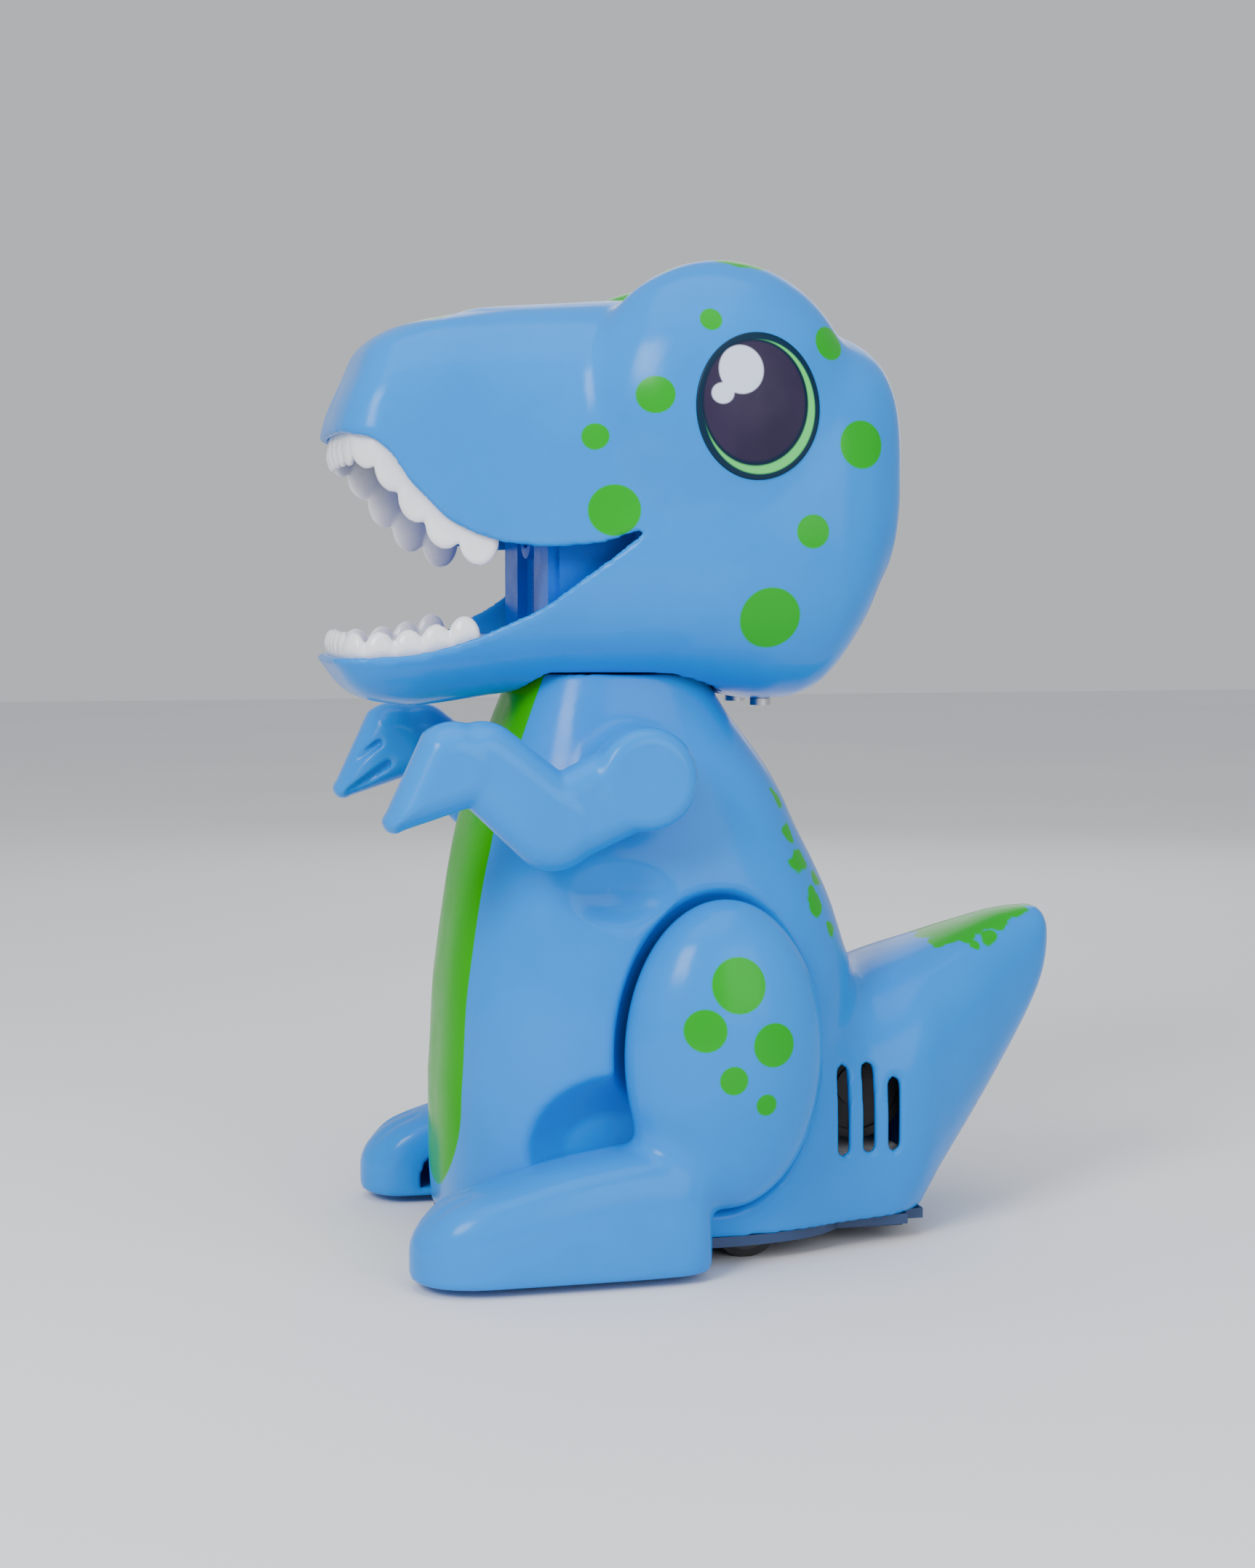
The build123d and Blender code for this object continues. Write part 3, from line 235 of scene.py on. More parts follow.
class Nodes:
    """Short calls for building one material's node tree."""

    def __init__(self, name):
        self.material = bpy.data.materials.new(name)
        self.material.use_nodes = True
        self.tree = self.material.node_tree
        self.shader = self.tree.nodes["Principled BSDF"]
        self.place = self.tree.nodes.new("ShaderNodeTexCoord").outputs["Object"]

    def link(self, source, target):
        if isinstance(source, bpy.types.NodeSocket):
            self.tree.links.new(source, target)
        else:
            target.default_value = source

    def math(self, operation, a, b=0.0, clamp=False):
        node = self.tree.nodes.new("ShaderNodeMath")
        node.operation = operation
        node.use_clamp = clamp
        self.link(a, node.inputs[0])
        self.link(b, node.inputs[1])
        return node.outputs[0]

    def vector(self, operation, a, b):
        node = self.tree.nodes.new("ShaderNodeVectorMath")
        node.operation = operation
        self.link(a, node.inputs[0])
        self.link(b, node.inputs[1])
        return node.outputs["Value"] if operation in ("DISTANCE", "DOT_PRODUCT") else node.outputs["Vector"]

    def noise(self, scale, detail=3.0, roughness=0.5):
        node = self.tree.nodes.new("ShaderNodeTexNoise")
        self.link(self.place, node.inputs["Vector"])
        node.inputs["Scale"].default_value = scale
        node.inputs["Detail"].default_value = detail
        node.inputs["Roughness"].default_value = roughness
        return node.outputs["Fac"]

    def ramp(self, value, low, high, to_low=0.0, to_high=1.0):
        node = self.tree.nodes.new("ShaderNodeMapRange")
        node.interpolation_type = "SMOOTHSTEP"
        self.link(value, node.inputs["Value"])
        for key, number in (("From Min", low), ("From Max", high), ("To Min", to_low), ("To Max", to_high)):
            node.inputs[key].default_value = number
        return node.outputs["Result"]

    def mix(self, share, a, b):
        node = self.tree.nodes.new("ShaderNodeMix")
        node.data_type = "RGBA"
        self.link(share, node.inputs["Factor"])
        self.link(a, node.inputs["A"])
        self.link(b, node.inputs["B"])
        return node.outputs["Result"]

    def axes(self):
        node = self.tree.nodes.new("ShaderNodeSeparateXYZ")
        self.link(self.place, node.inputs[0])
        return node.outputs["X"], node.outputs["Y"], node.outputs["Z"]

    def inside(self, distance, edge=0.00025):
        """1 where a distance is negative, with a fine soft edge."""
        return self.ramp(distance, -edge, edge, 1.0, 0.0)

    def spots(self, spots, at):
        """Distance to the nearest of some round spots, given as (place, radius) in millimetres."""
        nearest = None
        for centre, radius in spots:
            point = tuple(value * MM for value in centre)
            edge = self.math("SUBTRACT", self.vector("DISTANCE", at, point), radius * MM)
            nearest = edge if nearest is None else self.math("MINIMUM", nearest, edge)
        return nearest

    def finish(self, color, roughness=(0.26, 0.36), bump=0.00002, bump_scale=900.0, coat=0.15):
        """Colour with slight moulding variation, uneven gloss and a fine moulded texture."""
        cloud = self.noise(38.0, 4.0, 0.55)
        shade = self.tree.nodes.new("ShaderNodeHueSaturation")
        self.link(self.ramp(cloud, 0.3, 0.7, 0.965, 1.035), shade.inputs["Value"])
        self.link(color, shade.inputs["Color"])
        self.tree.links.new(shade.outputs["Color"], self.shader.inputs["Base Color"])
        smear = self.noise(120.0, 5.0, 0.65)
        self.tree.links.new(self.ramp(smear, 0.3, 0.75, *roughness), self.shader.inputs["Roughness"])
        grain = self.noise(bump_scale, 2.0, 0.5)
        node = self.tree.nodes.new("ShaderNodeBump")
        node.inputs["Strength"].default_value = 0.35
        node.inputs["Distance"].default_value = bump
        self.link(grain, node.inputs["Height"])
        self.tree.links.new(node.outputs["Normal"], self.shader.inputs["Normal"])
        self.shader.inputs["Coat Weight"].default_value = coat
        self.shader.inputs["Coat Roughness"].default_value = 0.12
        return self.material


def tint(color, factor):
    return tuple(channel * factor for channel in color[:3]) + (1.0,)


# ---------------------------------------------------------------- head

HEAD_POWER = 3.2
HEAD_TOP = profile([(-96, 221.5), (-88, 224.5), (-80, 226.3), (-74, 227.4), (-67, 228.7), (-54, 230.0),
                    (-39, 231.0), (-20, 232.0), (0, 232.0), (13, 230.4), (22, 227.5), (30, 224.6),
                    (36, 221.6), (40, 217.0), (43, 209.0), (44.6, 199.0)])
HEAD_BOTTOM = profile([(-96, 133.0), (-84, 133.0), (-76, 133.0), (-68, 134.0), (-58, 135.4),
                       (-48, 136.8), (-38, 137.5), (-17, 137.5), (-7, 137.0), (4, 135.8), (12, 134.7),
                       (18, 134.9), (23, 136.5), (27, 140.0), (30, 144.0), (34, 150.5), (37, 157.0),
                       (40.5, 163.5), (43, 174.0), (44.6, 186.0)])
HEAD_HALF = profile([(-96, 27.0), (-90, 29.4), (-84, 30.8), (-75, 31.9), (-62, 33.3), (-48, 36.4),
                     (-32, 41.0), (-16, 45.6), (0, 49.0), (13, 50.0), (22, 49.4), (30, 47.4),
                     (37, 43.0), (42, 36.5), (44.6, 28.0)])
HEAD_FRONT = profile([(130, -72.0), (133, -80.0), (135, -85.5), (138, -88.8), (142, -91.8),
                      (145.5, -94.0), (150, -94.6), (190, -94.2), (199, -92.9), (204, -91.6),
                      (208, -90.0), (213, -87.6), (220, -84.3), (225, -78.0), (229, -66.0)])
LOWER_LIP = profile([(-97, 146.0), (-85.5, 146.0), (-75.5, 146.7), (-65.5, 149.0), (-55.5, 153.0),
                     (-45.5, 158.0), (-37.5, 164.0), (-31.5, 168.6), (-26.5, 172.6), (-23.5, 175.4),
                     (-20.0, 178.6)])
UPPER_LIP = profile([(-20.0, 173.4), (-24.0, 175.2), (-27.0, 174.6), (-30.5, 173.2), (-37.5, 172.0),
                     (-45.5, 171.8), (-53.5, 172.5), (-60.5, 174.5), (-67.5, 178.0), (-72.5, 182.7),
                     (-76.5, 187.0), (-79.0, 190.7), (-81.5, 194.0), (-85.5, 197.0), (-89.5, 198.0),
                     (-97.0, 199.4)])
FRONT_BOW = 5.0             # how far back the front has bent, FRONT_BOW_X out from the middle
FRONT_BOW_X = 34.0
HEAD_BACK_Y = 44.4
HEAD_EDGE = 6.0             # how broadly the head's front and back edges are rounded
BROW_CENTRE = (31.5, -2.5, 204.0)
BROW_RADII = (21.0, 33.6, 35.6)
CHEEK_DIMPLE = ((49.2, -19.6, 177.4), (4.6, 2.6, 6.4))
NECK_HOLE_HALF = (29.6, 25.4)
NECK_HOLE_Y = -22.8
NECK_HOLE_TOP_Z = 142.0
MOUTH_BACK_Y = -21.0
BROW_BLEND = 2.6


def head_form(grid):
    middle = (HEAD_TOP(grid.y) + HEAD_BOTTOM(grid.y)) / 2
    half_height = (HEAD_TOP(grid.y) - HEAD_BOTTOM(grid.y)) / 2
    skull = superellipse(grid.x, HEAD_HALF(grid.y), grid.z - middle, half_height, HEAD_POWER)
    skull = to_distance(grid, skull)
    bow = (np.abs(grid.x) / FRONT_BOW_X) ** 3 * FRONT_BOW
    front = to_distance(grid, HEAD_FRONT(grid.z) + bow - grid.y)
    skull = smooth_common(skull, front, HEAD_EDGE)
    skull = smooth_common(skull, grid.y - HEAD_BACK_Y, HEAD_EDGE)
    for side in (-1, 1):
        centre = (side * BROW_CENTRE[0], BROW_CENTRE[1], BROW_CENTRE[2])
        skull = smooth_union(skull, ellipsoid(grid, centre, BROW_RADII), BROW_BLEND)
    return skull


def mouth_wedge(grid):
    """Negative between the lips."""
    low = LOWER_LIP(grid.y)
    high = UPPER_LIP(grid.y)
    low_slope = np.gradient(low, grid.step, axis=1)
    high_slope = np.gradient(high, grid.step, axis=1)
    below = (low - grid.z) / np.sqrt(1 + low_slope ** 2)
    above = (grid.z - high) / np.sqrt(1 + high_slope ** 2)
    return np.maximum(np.maximum(below, above), grid.y - MOUTH_BACK_Y)


HEAD_GRID = Grid((-56, -99, 129), (56, 49, 244), 1.0)
HEAD_FORM = head_form(HEAD_GRID)


def read_on_grid(grid):
    """The head's distance field, read at another grid's points."""
    points = np.stack(np.broadcast_arrays(grid.x, grid.y, grid.z), axis=-1)
    return read_field(HEAD_FORM, HEAD_GRID, points).astype(np.float32)


HEAD_SPOTS = [((0, -8.9, 224.0), 2.6), ((0, -22.0, 206.6), 4.3), ((0, -34.5, 197.3), 3.1),
              ((0, -30.2, 180.3), 6.0), ((0, 21.1, 219.6), 4.1), ((0, 27.9, 195.8), 5.7),
              ((0, 15.5, 175.4), 4.0), ((0, 6.1, 155.3), 7.1)]
THIGH_SPOTS = [((0, -4.5, 70.4), 6.5), ((0, -12.7, 60.2), 5.0), ((0, 3.7, 56.3), 5.2),
               ((0, -6.2, 48.5), 3.4), ((0, 1.9, 42.3), 2.6)]
HEAD_PATCHES = [((25, -16, 238), 9.0), ((32, 2, 242), 8.0), ((22, 4, 241), 6.0), ((30, 18, 236), 5.0),
                ((0, -58, 231), 9.5), ((10, -70, 229), 6.5), ((-4, -80, 227), 5.0),
                ((5, -44, 232), 5.0), ((0, 20, 230), 7.0), ((4, 34, 222), 5.0)]
BACK_SPOTS = [((4, 15.0, 119), 3.6), ((-5, 19, 110), 3.0), ((6, 22, 104), 3.4), ((14, 19.5, 104), 2.2),
              ((-1, 25, 98), 4.4), ((9, 27, 92), 3.0), ((17, 23, 92.5), 2.4), ((-8, 28.5, 88), 3.4),
              ((3, 31, 84), 4.6), ((13, 30, 79), 3.0), ((-6, 34, 75), 3.6), ((21, 26.5, 81), 2.2),
              ((-15, 21, 100), 2.6), ((-17, 26, 84), 2.8), ((5, 36.5, 66), 2.6), ((27, 13, 112), 2.4),
              ((31, 15, 104), 3.2), ((33, 17.3, 96), 3.6), ((29, 22.5, 91), 2.8),
              ((34, 20.6, 86), 3.4), ((31, 26, 78), 2.8)]
TAIL_SPOTS = [((0, 66, 75), 7.5), ((6, 72, 76), 6.0), ((-5, 78, 78), 6.0), ((3, 84, 79), 4.6),
              ((9, 64, 72), 4.0), ((13, 70, 71), 2.0), ((10, 78, 75), 2.0), ((-10, 68, 74), 4.0),
              ((-12, 75, 73), 2.2), ((0, 90, 80), 2.6)]


def mirrored_spots(spots):
    return spots + [((-centre[0], centre[1], centre[2]), radius) for centre, radius in spots if centre[0]]


def blue_plastic(name, round_spots=(), patches=(), belly=False):
    """Glossy blue moulding with printed green spots and, on the body, a green belly."""
    nodes = Nodes(name)
    color = SKY_BLUE
    if patches:
        wobble = nodes.tree.nodes.new("ShaderNodeTexNoise")
        nodes.link(nodes.place, wobble.inputs["Vector"])
        wobble.inputs["Scale"].default_value = 130.0
        wobble.inputs["Detail"].default_value = 2.0
        shift = nodes.vector("MULTIPLY", nodes.vector("SUBTRACT", wobble.outputs["Color"], (0.5, 0.5, 0.5)),
                             (0.008, 0.008, 0.008))
        moved = nodes.vector("ADD", nodes.place, shift)
        edge = nodes.spots(mirrored_spots(list(patches)), moved)
        color = nodes.mix(nodes.inside(edge, 0.0004), color, SPOT_GREEN)
    if round_spots:
        flat = nodes.vector("MULTIPLY", nodes.place, (0.0, 1.0, 1.0))
        edge = nodes.spots(list(round_spots), flat)
        color = nodes.mix(nodes.inside(edge), color, SPOT_GREEN)
    if belly:
        x, y, z = nodes.axes()
        above = nodes.math("MAXIMUM", nodes.math("SUBTRACT", z, BELLY_NARROWS_Z), 0.0)
        half = nodes.math("SUBTRACT", BELLY_HALF, nodes.math("MULTIPLY", above, BELLY_TAPER))
        beside = nodes.math("SUBTRACT", nodes.math("ABSOLUTE", x), half)
        drop = nodes.math("MINIMUM", nodes.math("SUBTRACT", z, BELLY_ROUND_Z), 0.0)
        square = nodes.math("ADD", nodes.math("MULTIPLY", x, x), nodes.math("MULTIPLY", drop, drop))
        round_end = nodes.math("SUBTRACT", nodes.math("SQRT", square), BELLY_HALF)
        edge = nodes.math("MAXIMUM", beside, round_end)
        edge = nodes.math("MAXIMUM", edge, nodes.math("SUBTRACT", y, BELLY_BACK_Y))
        color = nodes.mix(nodes.inside(edge), color, LEAF_GREEN)
        gloss = nodes.ramp(edge, -0.001, 0.001, BELLY_SPECULAR, BLUE_SPECULAR)
        nodes.tree.links.new(gloss, nodes.shader.inputs["Specular IOR Level"])
    else:
        nodes.shader.inputs["Specular IOR Level"].default_value = BLUE_SPECULAR
    return nodes.finish(color, (0.16, 0.26), coat=0.0)


def build_head():
    shell = np.maximum(HEAD_FORM, -(HEAD_FORM + WALL))
    dimple_centre, dimple_radii = CHEEK_DIMPLE
    for side in (-1, 1):
        centre = (side * dimple_centre[0], dimple_centre[1], dimple_centre[2])
        shell = smooth_cut(shell, ellipsoid(HEAD_GRID, centre, dimple_radii), 1.6)
    shell = smooth_cut(shell, mouth_wedge(HEAD_GRID), 1.4)
    half_x, half_y = NECK_HOLE_HALF
    neck = superellipse(HEAD_GRID.x, half_x, HEAD_GRID.y - NECK_HOLE_Y, half_y, HEAD_POWER) * 25.0
    neck = np.maximum(neck, HEAD_GRID.z - NECK_HOLE_TOP_Z)
    shell = smooth_cut(shell, neck, 0.8)
    material = blue_plastic("head_blue", HEAD_SPOTS, HEAD_PATCHES)
    add_mesh("head", HEAD_GRID, shell, "root", material,
             ("head_shell_left", "head_shell_right"), "shell_blue")


build_head()

# ---------------------------------------------------------------- eyes

EYE_CENTRE = (1.9, 204.2)           # (y, z)
EYE_HALF = (15.1, 17.0)
EYE_LIFT = 0.25
EYE_GREEN_OVAL = ((0.2, -0.2), (13.6, 15.4))    # each oval: offset from the eye's centre, half sizes
EYE_RIM_OVAL = ((-0.9, 0.8), (13.0, 14.6))
EYE_PUPIL_OVAL = ((-1.1, 1.0), (12.3, 13.8))
EYE_LIGHT_OVALS = (((-4.5, 8.2), (5.3, 5.6)), ((-9.0, 2.7), (2.6, 2.4)), ((-7.2, 4.6), (2.0, 2.0)))


def head_side_x(y, z, lift):
    """How far out the head's left surface is, at each (y, z)."""
    x = np.full(y.shape, 54.0)
    for _ in range(14):
        points = np.stack([x, y, z], axis=-1)
        x = x - (read_field(HEAD_FORM, HEAD_GRID, points) - lift) * 0.8
    return x


def eye_nodes():
    """Printed eye: dark rim, green crescent, purple-black pupil, two joined highlights."""
    nodes = Nodes("eye_print")

    def oval(shift, half):
        middle = (0.0, (EYE_CENTRE[0] + shift[0]) * MM, (EYE_CENTRE[1] + shift[1]) * MM)
        offset = nodes.vector("SUBTRACT", nodes.place, middle)
        flat = nodes.vector("MULTIPLY", offset, (0.0, 1.0 / (half[0] * MM), 1.0 / (half[1] * MM)))
        reach = nodes.vector("DISTANCE", flat, (0.0, 0.0, 0.0))
        return nodes.math("MULTIPLY", nodes.math("SUBTRACT", reach, 1.0), min(half) * MM)

    cloud = nodes.ramp(nodes.noise(60.0, 3.0), 0.3, 0.7)
    pupil = nodes.mix(cloud, (0.028, 0.019, 0.052, 1.0), (0.020, 0.013, 0.042, 1.0))
    green = nodes.mix(nodes.inside(oval(*EYE_GREEN_OVAL)), (0.0, 0.018, 0.045, 1.0),
                      (0.085, 0.62, 0.14, 1.0))
    rim = nodes.mix(nodes.inside(oval(*EYE_RIM_OVAL)), green, (0.0, 0.012, 0.035, 1.0))
    color = nodes.mix(nodes.inside(oval(*EYE_PUPIL_OVAL)), rim, pupil)
    white = (0.62, 0.68, 0.86, 1.0)
    big, small, join = [oval(*each) for each in EYE_LIGHT_OVALS]
    light = nodes.math("MINIMUM", nodes.math("MINIMUM", big, small), join)
    color = nodes.mix(nodes.inside(light), color, white)
    nodes.shader.inputs["Specular IOR Level"].default_value = 0.18
    return nodes.finish(color, (0.34, 0.42), 0.000008, 700.0, 0.0)


def build_eye(side, word, material):
    """A thin printed egg that follows the head's surface, with its edge turned in."""
    rings = 40
    around = 96
    reach = np.concatenate([np.linspace(0.02, 1.0, rings), [1.0]])
    lift = np.concatenate([np.full(rings, EYE_LIFT), [-0.15]])
    turn = np.linspace(0.0, 2 * math.pi, around, endpoint=False)
    y = EYE_CENTRE[0] + EYE_HALF[0] * reach[:, None] * np.cos(turn)[None, :]
    z = EYE_CENTRE[1] + EYE_HALF[1] * reach[:, None] * np.sin(turn)[None, :]
    x = np.stack([head_side_x(y[row], z[row], lift[row]) for row in range(rings + 1)])
    points = np.stack([side * x, y, z], axis=-1).reshape(-1, 3) * MM
    faces = []
    for row in range(rings):
        for k in range(around):
            after = (k + 1) % around
            face = (row * around + k, row * around + after,
                    (row + 1) * around + after, (row + 1) * around + k)
            faces.append(face if side < 0 else face[::-1])
    centre = tuple(range(around))
    faces.append(centre[::-1] if side < 0 else centre)
    back = tuple(rings * around + k for k in range(around))
    faces.append(back if side < 0 else back[::-1])
    mesh = bpy.data.meshes.new("eye_" + word)
    mesh.from_pydata([tuple(point) for point in points], [], faces)
    mesh.validate()
    mesh.polygons.foreach_set("use_smooth", [True] * len(mesh.polygons))
    place("eye_" + word, mesh, "root", material, (word + "_eye_sticker",), "eye_print")


EYE_PRINT = eye_nodes()
build_eye(1, "left", EYE_PRINT)
build_eye(-1, "right", EYE_PRINT)

# ---------------------------------------------------------------- teeth

TOOTH_GRID = Grid((-36, -93, 138), (36, -44, 206), 0.6)
TOOTH_HALF_WIDTH = 0.56     # as a share of the pitch, so neighbours overlap
TOOTH_HALF_DEPTH = 1.9


def tooth_places(lip, rise, pitch, back_y):
    """Centres and directions of teeth spread evenly round the inside of one lip."""
    inset = WALL + 1.5
    path = []
    for turn in np.linspace(0.0, math.pi, 400):
        direction = np.array([math.cos(turn), -math.sin(turn)])
        reach = np.linspace(4.0, 60.0, 300)
        x = direction[0] * reach
        y = back_y + direction[1] * reach
        z = lip(y) + rise
        depth = read_field(HEAD_FORM, HEAD_GRID, np.stack([x, y, z], axis=-1))
        hit = np.argmax(depth > -inset)
        path.append((x[hit], y[hit], z[hit]))
    path = np.array(path)
    lengths = np.concatenate([[0.0], np.cumsum(np.linalg.norm(np.diff(path, axis=0), axis=1))])
    count = int(lengths[-1] / pitch)
    stops = (np.arange(count) + 0.5) * lengths[-1] / count
    places = np.stack([np.interp(stops, lengths, path[:, axis]) for axis in range(3)], axis=-1)
    ahead = np.stack([np.interp(stops + 1.0, lengths, path[:, axis]) for axis in range(3)], axis=-1)
    behind = np.stack([np.interp(stops - 1.0, lengths, path[:, axis]) for axis in range(3)], axis=-1)
    return places, ahead - behind


def build_teeth(word, lip, rise, pitch, height, back_y, material):
    """A row of rounded teeth, joined side by side."""
    grid = TOOTH_GRID
    places, directions = tooth_places(lip, rise, pitch, back_y)
    half_width = pitch * TOOTH_HALF_WIDTH
    row = np.full(grid.shape, 50.0, dtype=np.float32)
    for centre, direction in zip(places, directions):
        flat = math.hypot(direction[0], direction[1])
        along = (direction[0] / flat, direction[1] / flat)
        dx = grid.x - centre[0]
        dy = grid.y - centre[1]
        u = (dx * along[0] + dy * along[1]) / half_width
        v = (-dx * along[1] + dy * along[0]) / TOOTH_HALF_DEPTH
        w = (grid.z - centre[2]) / height
        near = np.sqrt(u * u + v * v + w * w)
        slope = np.sqrt((u / half_width) ** 2 + (v / TOOTH_HALF_DEPTH) ** 2 + (w / height) ** 2)
        row = smooth_union(row, near * (near - 1.0) / np.maximum(slope, 1e-5), 0.5)
    row = np.maximum(row, read_on_grid(grid) + WALL + 0.15)
    add_mesh(word + "_tooth_row", grid, row, "root", material, (word + "_teeth",), "tooth_white")


def tooth_enamel():
    nodes = Nodes("tooth_white")
    cloud = nodes.ramp(nodes.noise(90.0, 3.0), 0.3, 0.7)
    color = nodes.mix(cloud, (0.80, 0.82, 0.86, 1.0), (0.87, 0.88, 0.90, 1.0))
    nodes.shader.inputs["Subsurface Weight"].default_value = 0.15
    nodes.shader.inputs["Subsurface Radius"].default_value = (0.002, 0.002, 0.0022)
    return nodes.finish(color, (0.2, 0.32))


ENAMEL = tooth_enamel()
build_teeth("upper", UPPER_LIP, -0.6, 8.6, 6.4, -56.0, ENAMEL)
build_teeth("lower", LOWER_LIP, 0.6, 6.9, 5.3, -60.0, ENAMEL)

# ---------------------------------------------------------------- body and tail

BODY_POWER = 3.0
BASE_Z = 7.0
NECK_TOP_Z = 141.7
BODY_FRONT = profile([(0, -66.0), (7, -66.4), (20, -67.0), (38, -67.0), (47, -66.5), (62, -65.7),
                      (77, -63.8), (92, -61.5), (104, -59.1), (118, -54.8), (131, -50.0), (141, -46.0)])
BODY_BACK = profile([(0, 35.5), (7, 36.0), (20, 37.0), (38, 37.2), (57, 37.0), (70, 36.0),
                     (74.5, 34.5), (85, 31.0), (95, 26.5), (103, 22.5), (112, 18.5), (119, 14.5),
                     (126, 9.5), (132.7, 4.5), (141, -0.5)])
BODY_HALF = profile([(0, 43.0), (7, 43.6), (20, 45.0), (38, 45.4), (57, 45.3), (77, 44.4), (92, 42.6),
                     (105, 39.6), (118, 35.6), (129, 31.6), (141, 28.0)])
TAIL_LOW = profile([(10, -17.0), (28, -15.0), (41, -12.0), (50, -3.0), (60, 11.0), (72, 27.0),
                    (83, 43.0), (90, 55.0), (94, 64.0), (95.5, 68.0)])
TAIL_HIGH = profile([(10, 57.0), (28, 62.0), (41, 66.4), (50, 69.4), (60, 72.5), (72, 76.2),
                     (83, 79.0), (90, 79.6), (94, 77.6), (95.5, 75.0)])
TAIL_HALF = profile([(10, 38.5), (28, 37.2), (41, 35.2), (50, 33.0), (60, 27.0), (72, 19.6),
                     (83, 12.8), (90, 8.6), (94, 5.2), (95.5, 3.6)])
TAIL_POWER = 2.6
TAIL_START_Y = 10.0                 # inside the trunk
TAIL_TIP_Y = 95.0
LEG_X = 46.0
THIGH_CENTRE = (LEG_X, -4.6, 52.0)
THIGH_RADII = (15.0, 24.0, 37.0)
LEG_INNER_X = 34.0
GROOVE = 2.4
FOOT_SCOOP = ((60.0, -30.0, 29.0), (28.0, 31.0, 22.5))
ELBOW_SCOOP = ((52.0, -31.0, 91.0), (13.0, 19.0, 10.5))
SHOULDER = (-25.1, 118.3)           # (y, z), as all of the arm's points
ELBOW = (-46.6, 107.9)
SHOULDER_R = 12.0
WRIST = (-63.0, 122.4)
PALM = (-69.6, 121.4)
FINGERTIP = (-83.4, 109.2)
FINGER_GROOVES = (((-85.5, 113.5), (-74.5, 121.5)), ((-82.5, 108.5), (-72.0, 116.0)))
ARM_ROOM_Z = 104.0                  # above it the body's sides keep clear of the arms
BOSS_R = 10.0
BOSS_MIDDLE_X = 36.0                # middle of the raised ring that the arm turns against
ARM_INNER_X = 42.4
ARM_OUTER_X = 56.8
SLOTS = ((28.0, 24.0, 46.0), (35.2, 24.0, 46.0), (42.0, 24.0, 42.0))     # (y, low z, high z)
SLOT_R = 1.5
SLOT_INNER_X = 14.0
SOLE_Z = 2.0
FOOT_DROP = 10.0                    # how far the foot's oval sections reach below the floor
FOOT_POWER = 2.8
FOOT_BACK_Y = -9.0
TOES_ARC_Y = -61.0                  # in front of it the foot is an ellipse in plan
TOES_HALF_X = 15.8
TOES_LENGTH = 19.0
TOE_LINE_OFFSETS = (-5.0, 5.0)
FOOT_HIGH = profile([(-82, 13.0), (-78, 15.5), (-71, 20.0), (-58, 24.5), (-40, 29.0), (-24, 31.0),
                     (-14, 30.0), (-6, 27.0)])
FOOT_HALF = profile([(-82, 15.0), (-71, 16.2), (-58, 16.4), (-40, 16.0), (-24, 15.0), (-14, 13.0),
                     (-6, 11.0)])


def foot_form(grid):
    """Left foot, with its sole still rounded."""
    high = FOOT_HIGH(grid.y)
    half_height = (high + FOOT_DROP) / 2
    middle = (high - FOOT_DROP) / 2
    foot = superellipse(grid.x - LEG_X, FOOT_HALF(grid.y), grid.z - middle, half_height, FOOT_POWER) * 13.0
    foot = smooth_common(foot, grid.y - FOOT_BACK_Y, 8.0)
    return smooth_common(foot, toes_limit(grid), 6.0)


def toes_limit(grid):
    """Keeps the foot's front round in plan."""
    dx = (grid.x - LEG_X) / TOES_HALF_X
    dy = np.minimum(grid.y - TOES_ARC_Y, 0.0) / TOES_LENGTH
    return (np.sqrt(dx * dx + dy * dy) - 1.0) * 15.0


class Folded:
    """A grid seen in a mirror, so one side's shape serves both."""

    def __init__(self, grid, x):
        self.x = x
        self.y = grid.y
        self.z = grid.z
        self.shape = grid.shape
        self.step = grid.step


def leg_recess(grid, inset):
    """The room that the legs and the swinging elbows take out of the body's sides."""
    side_x = np.abs(grid.x)
    folded = Folded(grid, side_x)
    recess = ellipsoid(folded, THIGH_CENTRE, THIGH_RADII, GROOVE - inset)
    recess = smooth_union(recess, ellipsoid(folded, *FOOT_SCOOP, grow=-inset), 1.5)
    recess = np.maximum(recess, LEG_INNER_X - GAP + inset - side_x)
    return np.minimum(recess, ellipsoid(folded, *ELBOW_SCOOP, grow=-inset))


def body_form(grid):
    front = BODY_FRONT(grid.z)
    back = BODY_BACK(grid.z)
    half_length = (back - front) / 2
    trunk = superellipse(grid.x, BODY_HALF(grid.z), grid.y - (front + back) / 2, half_length, BODY_POWER)
    trunk = to_distance(grid, trunk)
    middle = (TAIL_HIGH(grid.y) + TAIL_LOW(grid.y)) / 2
    half_height = (TAIL_HIGH(grid.y) - TAIL_LOW(grid.y)) / 2
    tail = superellipse(grid.x, TAIL_HALF(grid.y), grid.z - middle, half_height, TAIL_POWER)
    tail = to_distance(grid, tail)
    tail = smooth_common(tail, grid.y - TAIL_TIP_Y, 4.0)
    tail = np.maximum(tail, TAIL_START_Y - grid.y)
    return smooth_union(trunk, tail, 7.0)


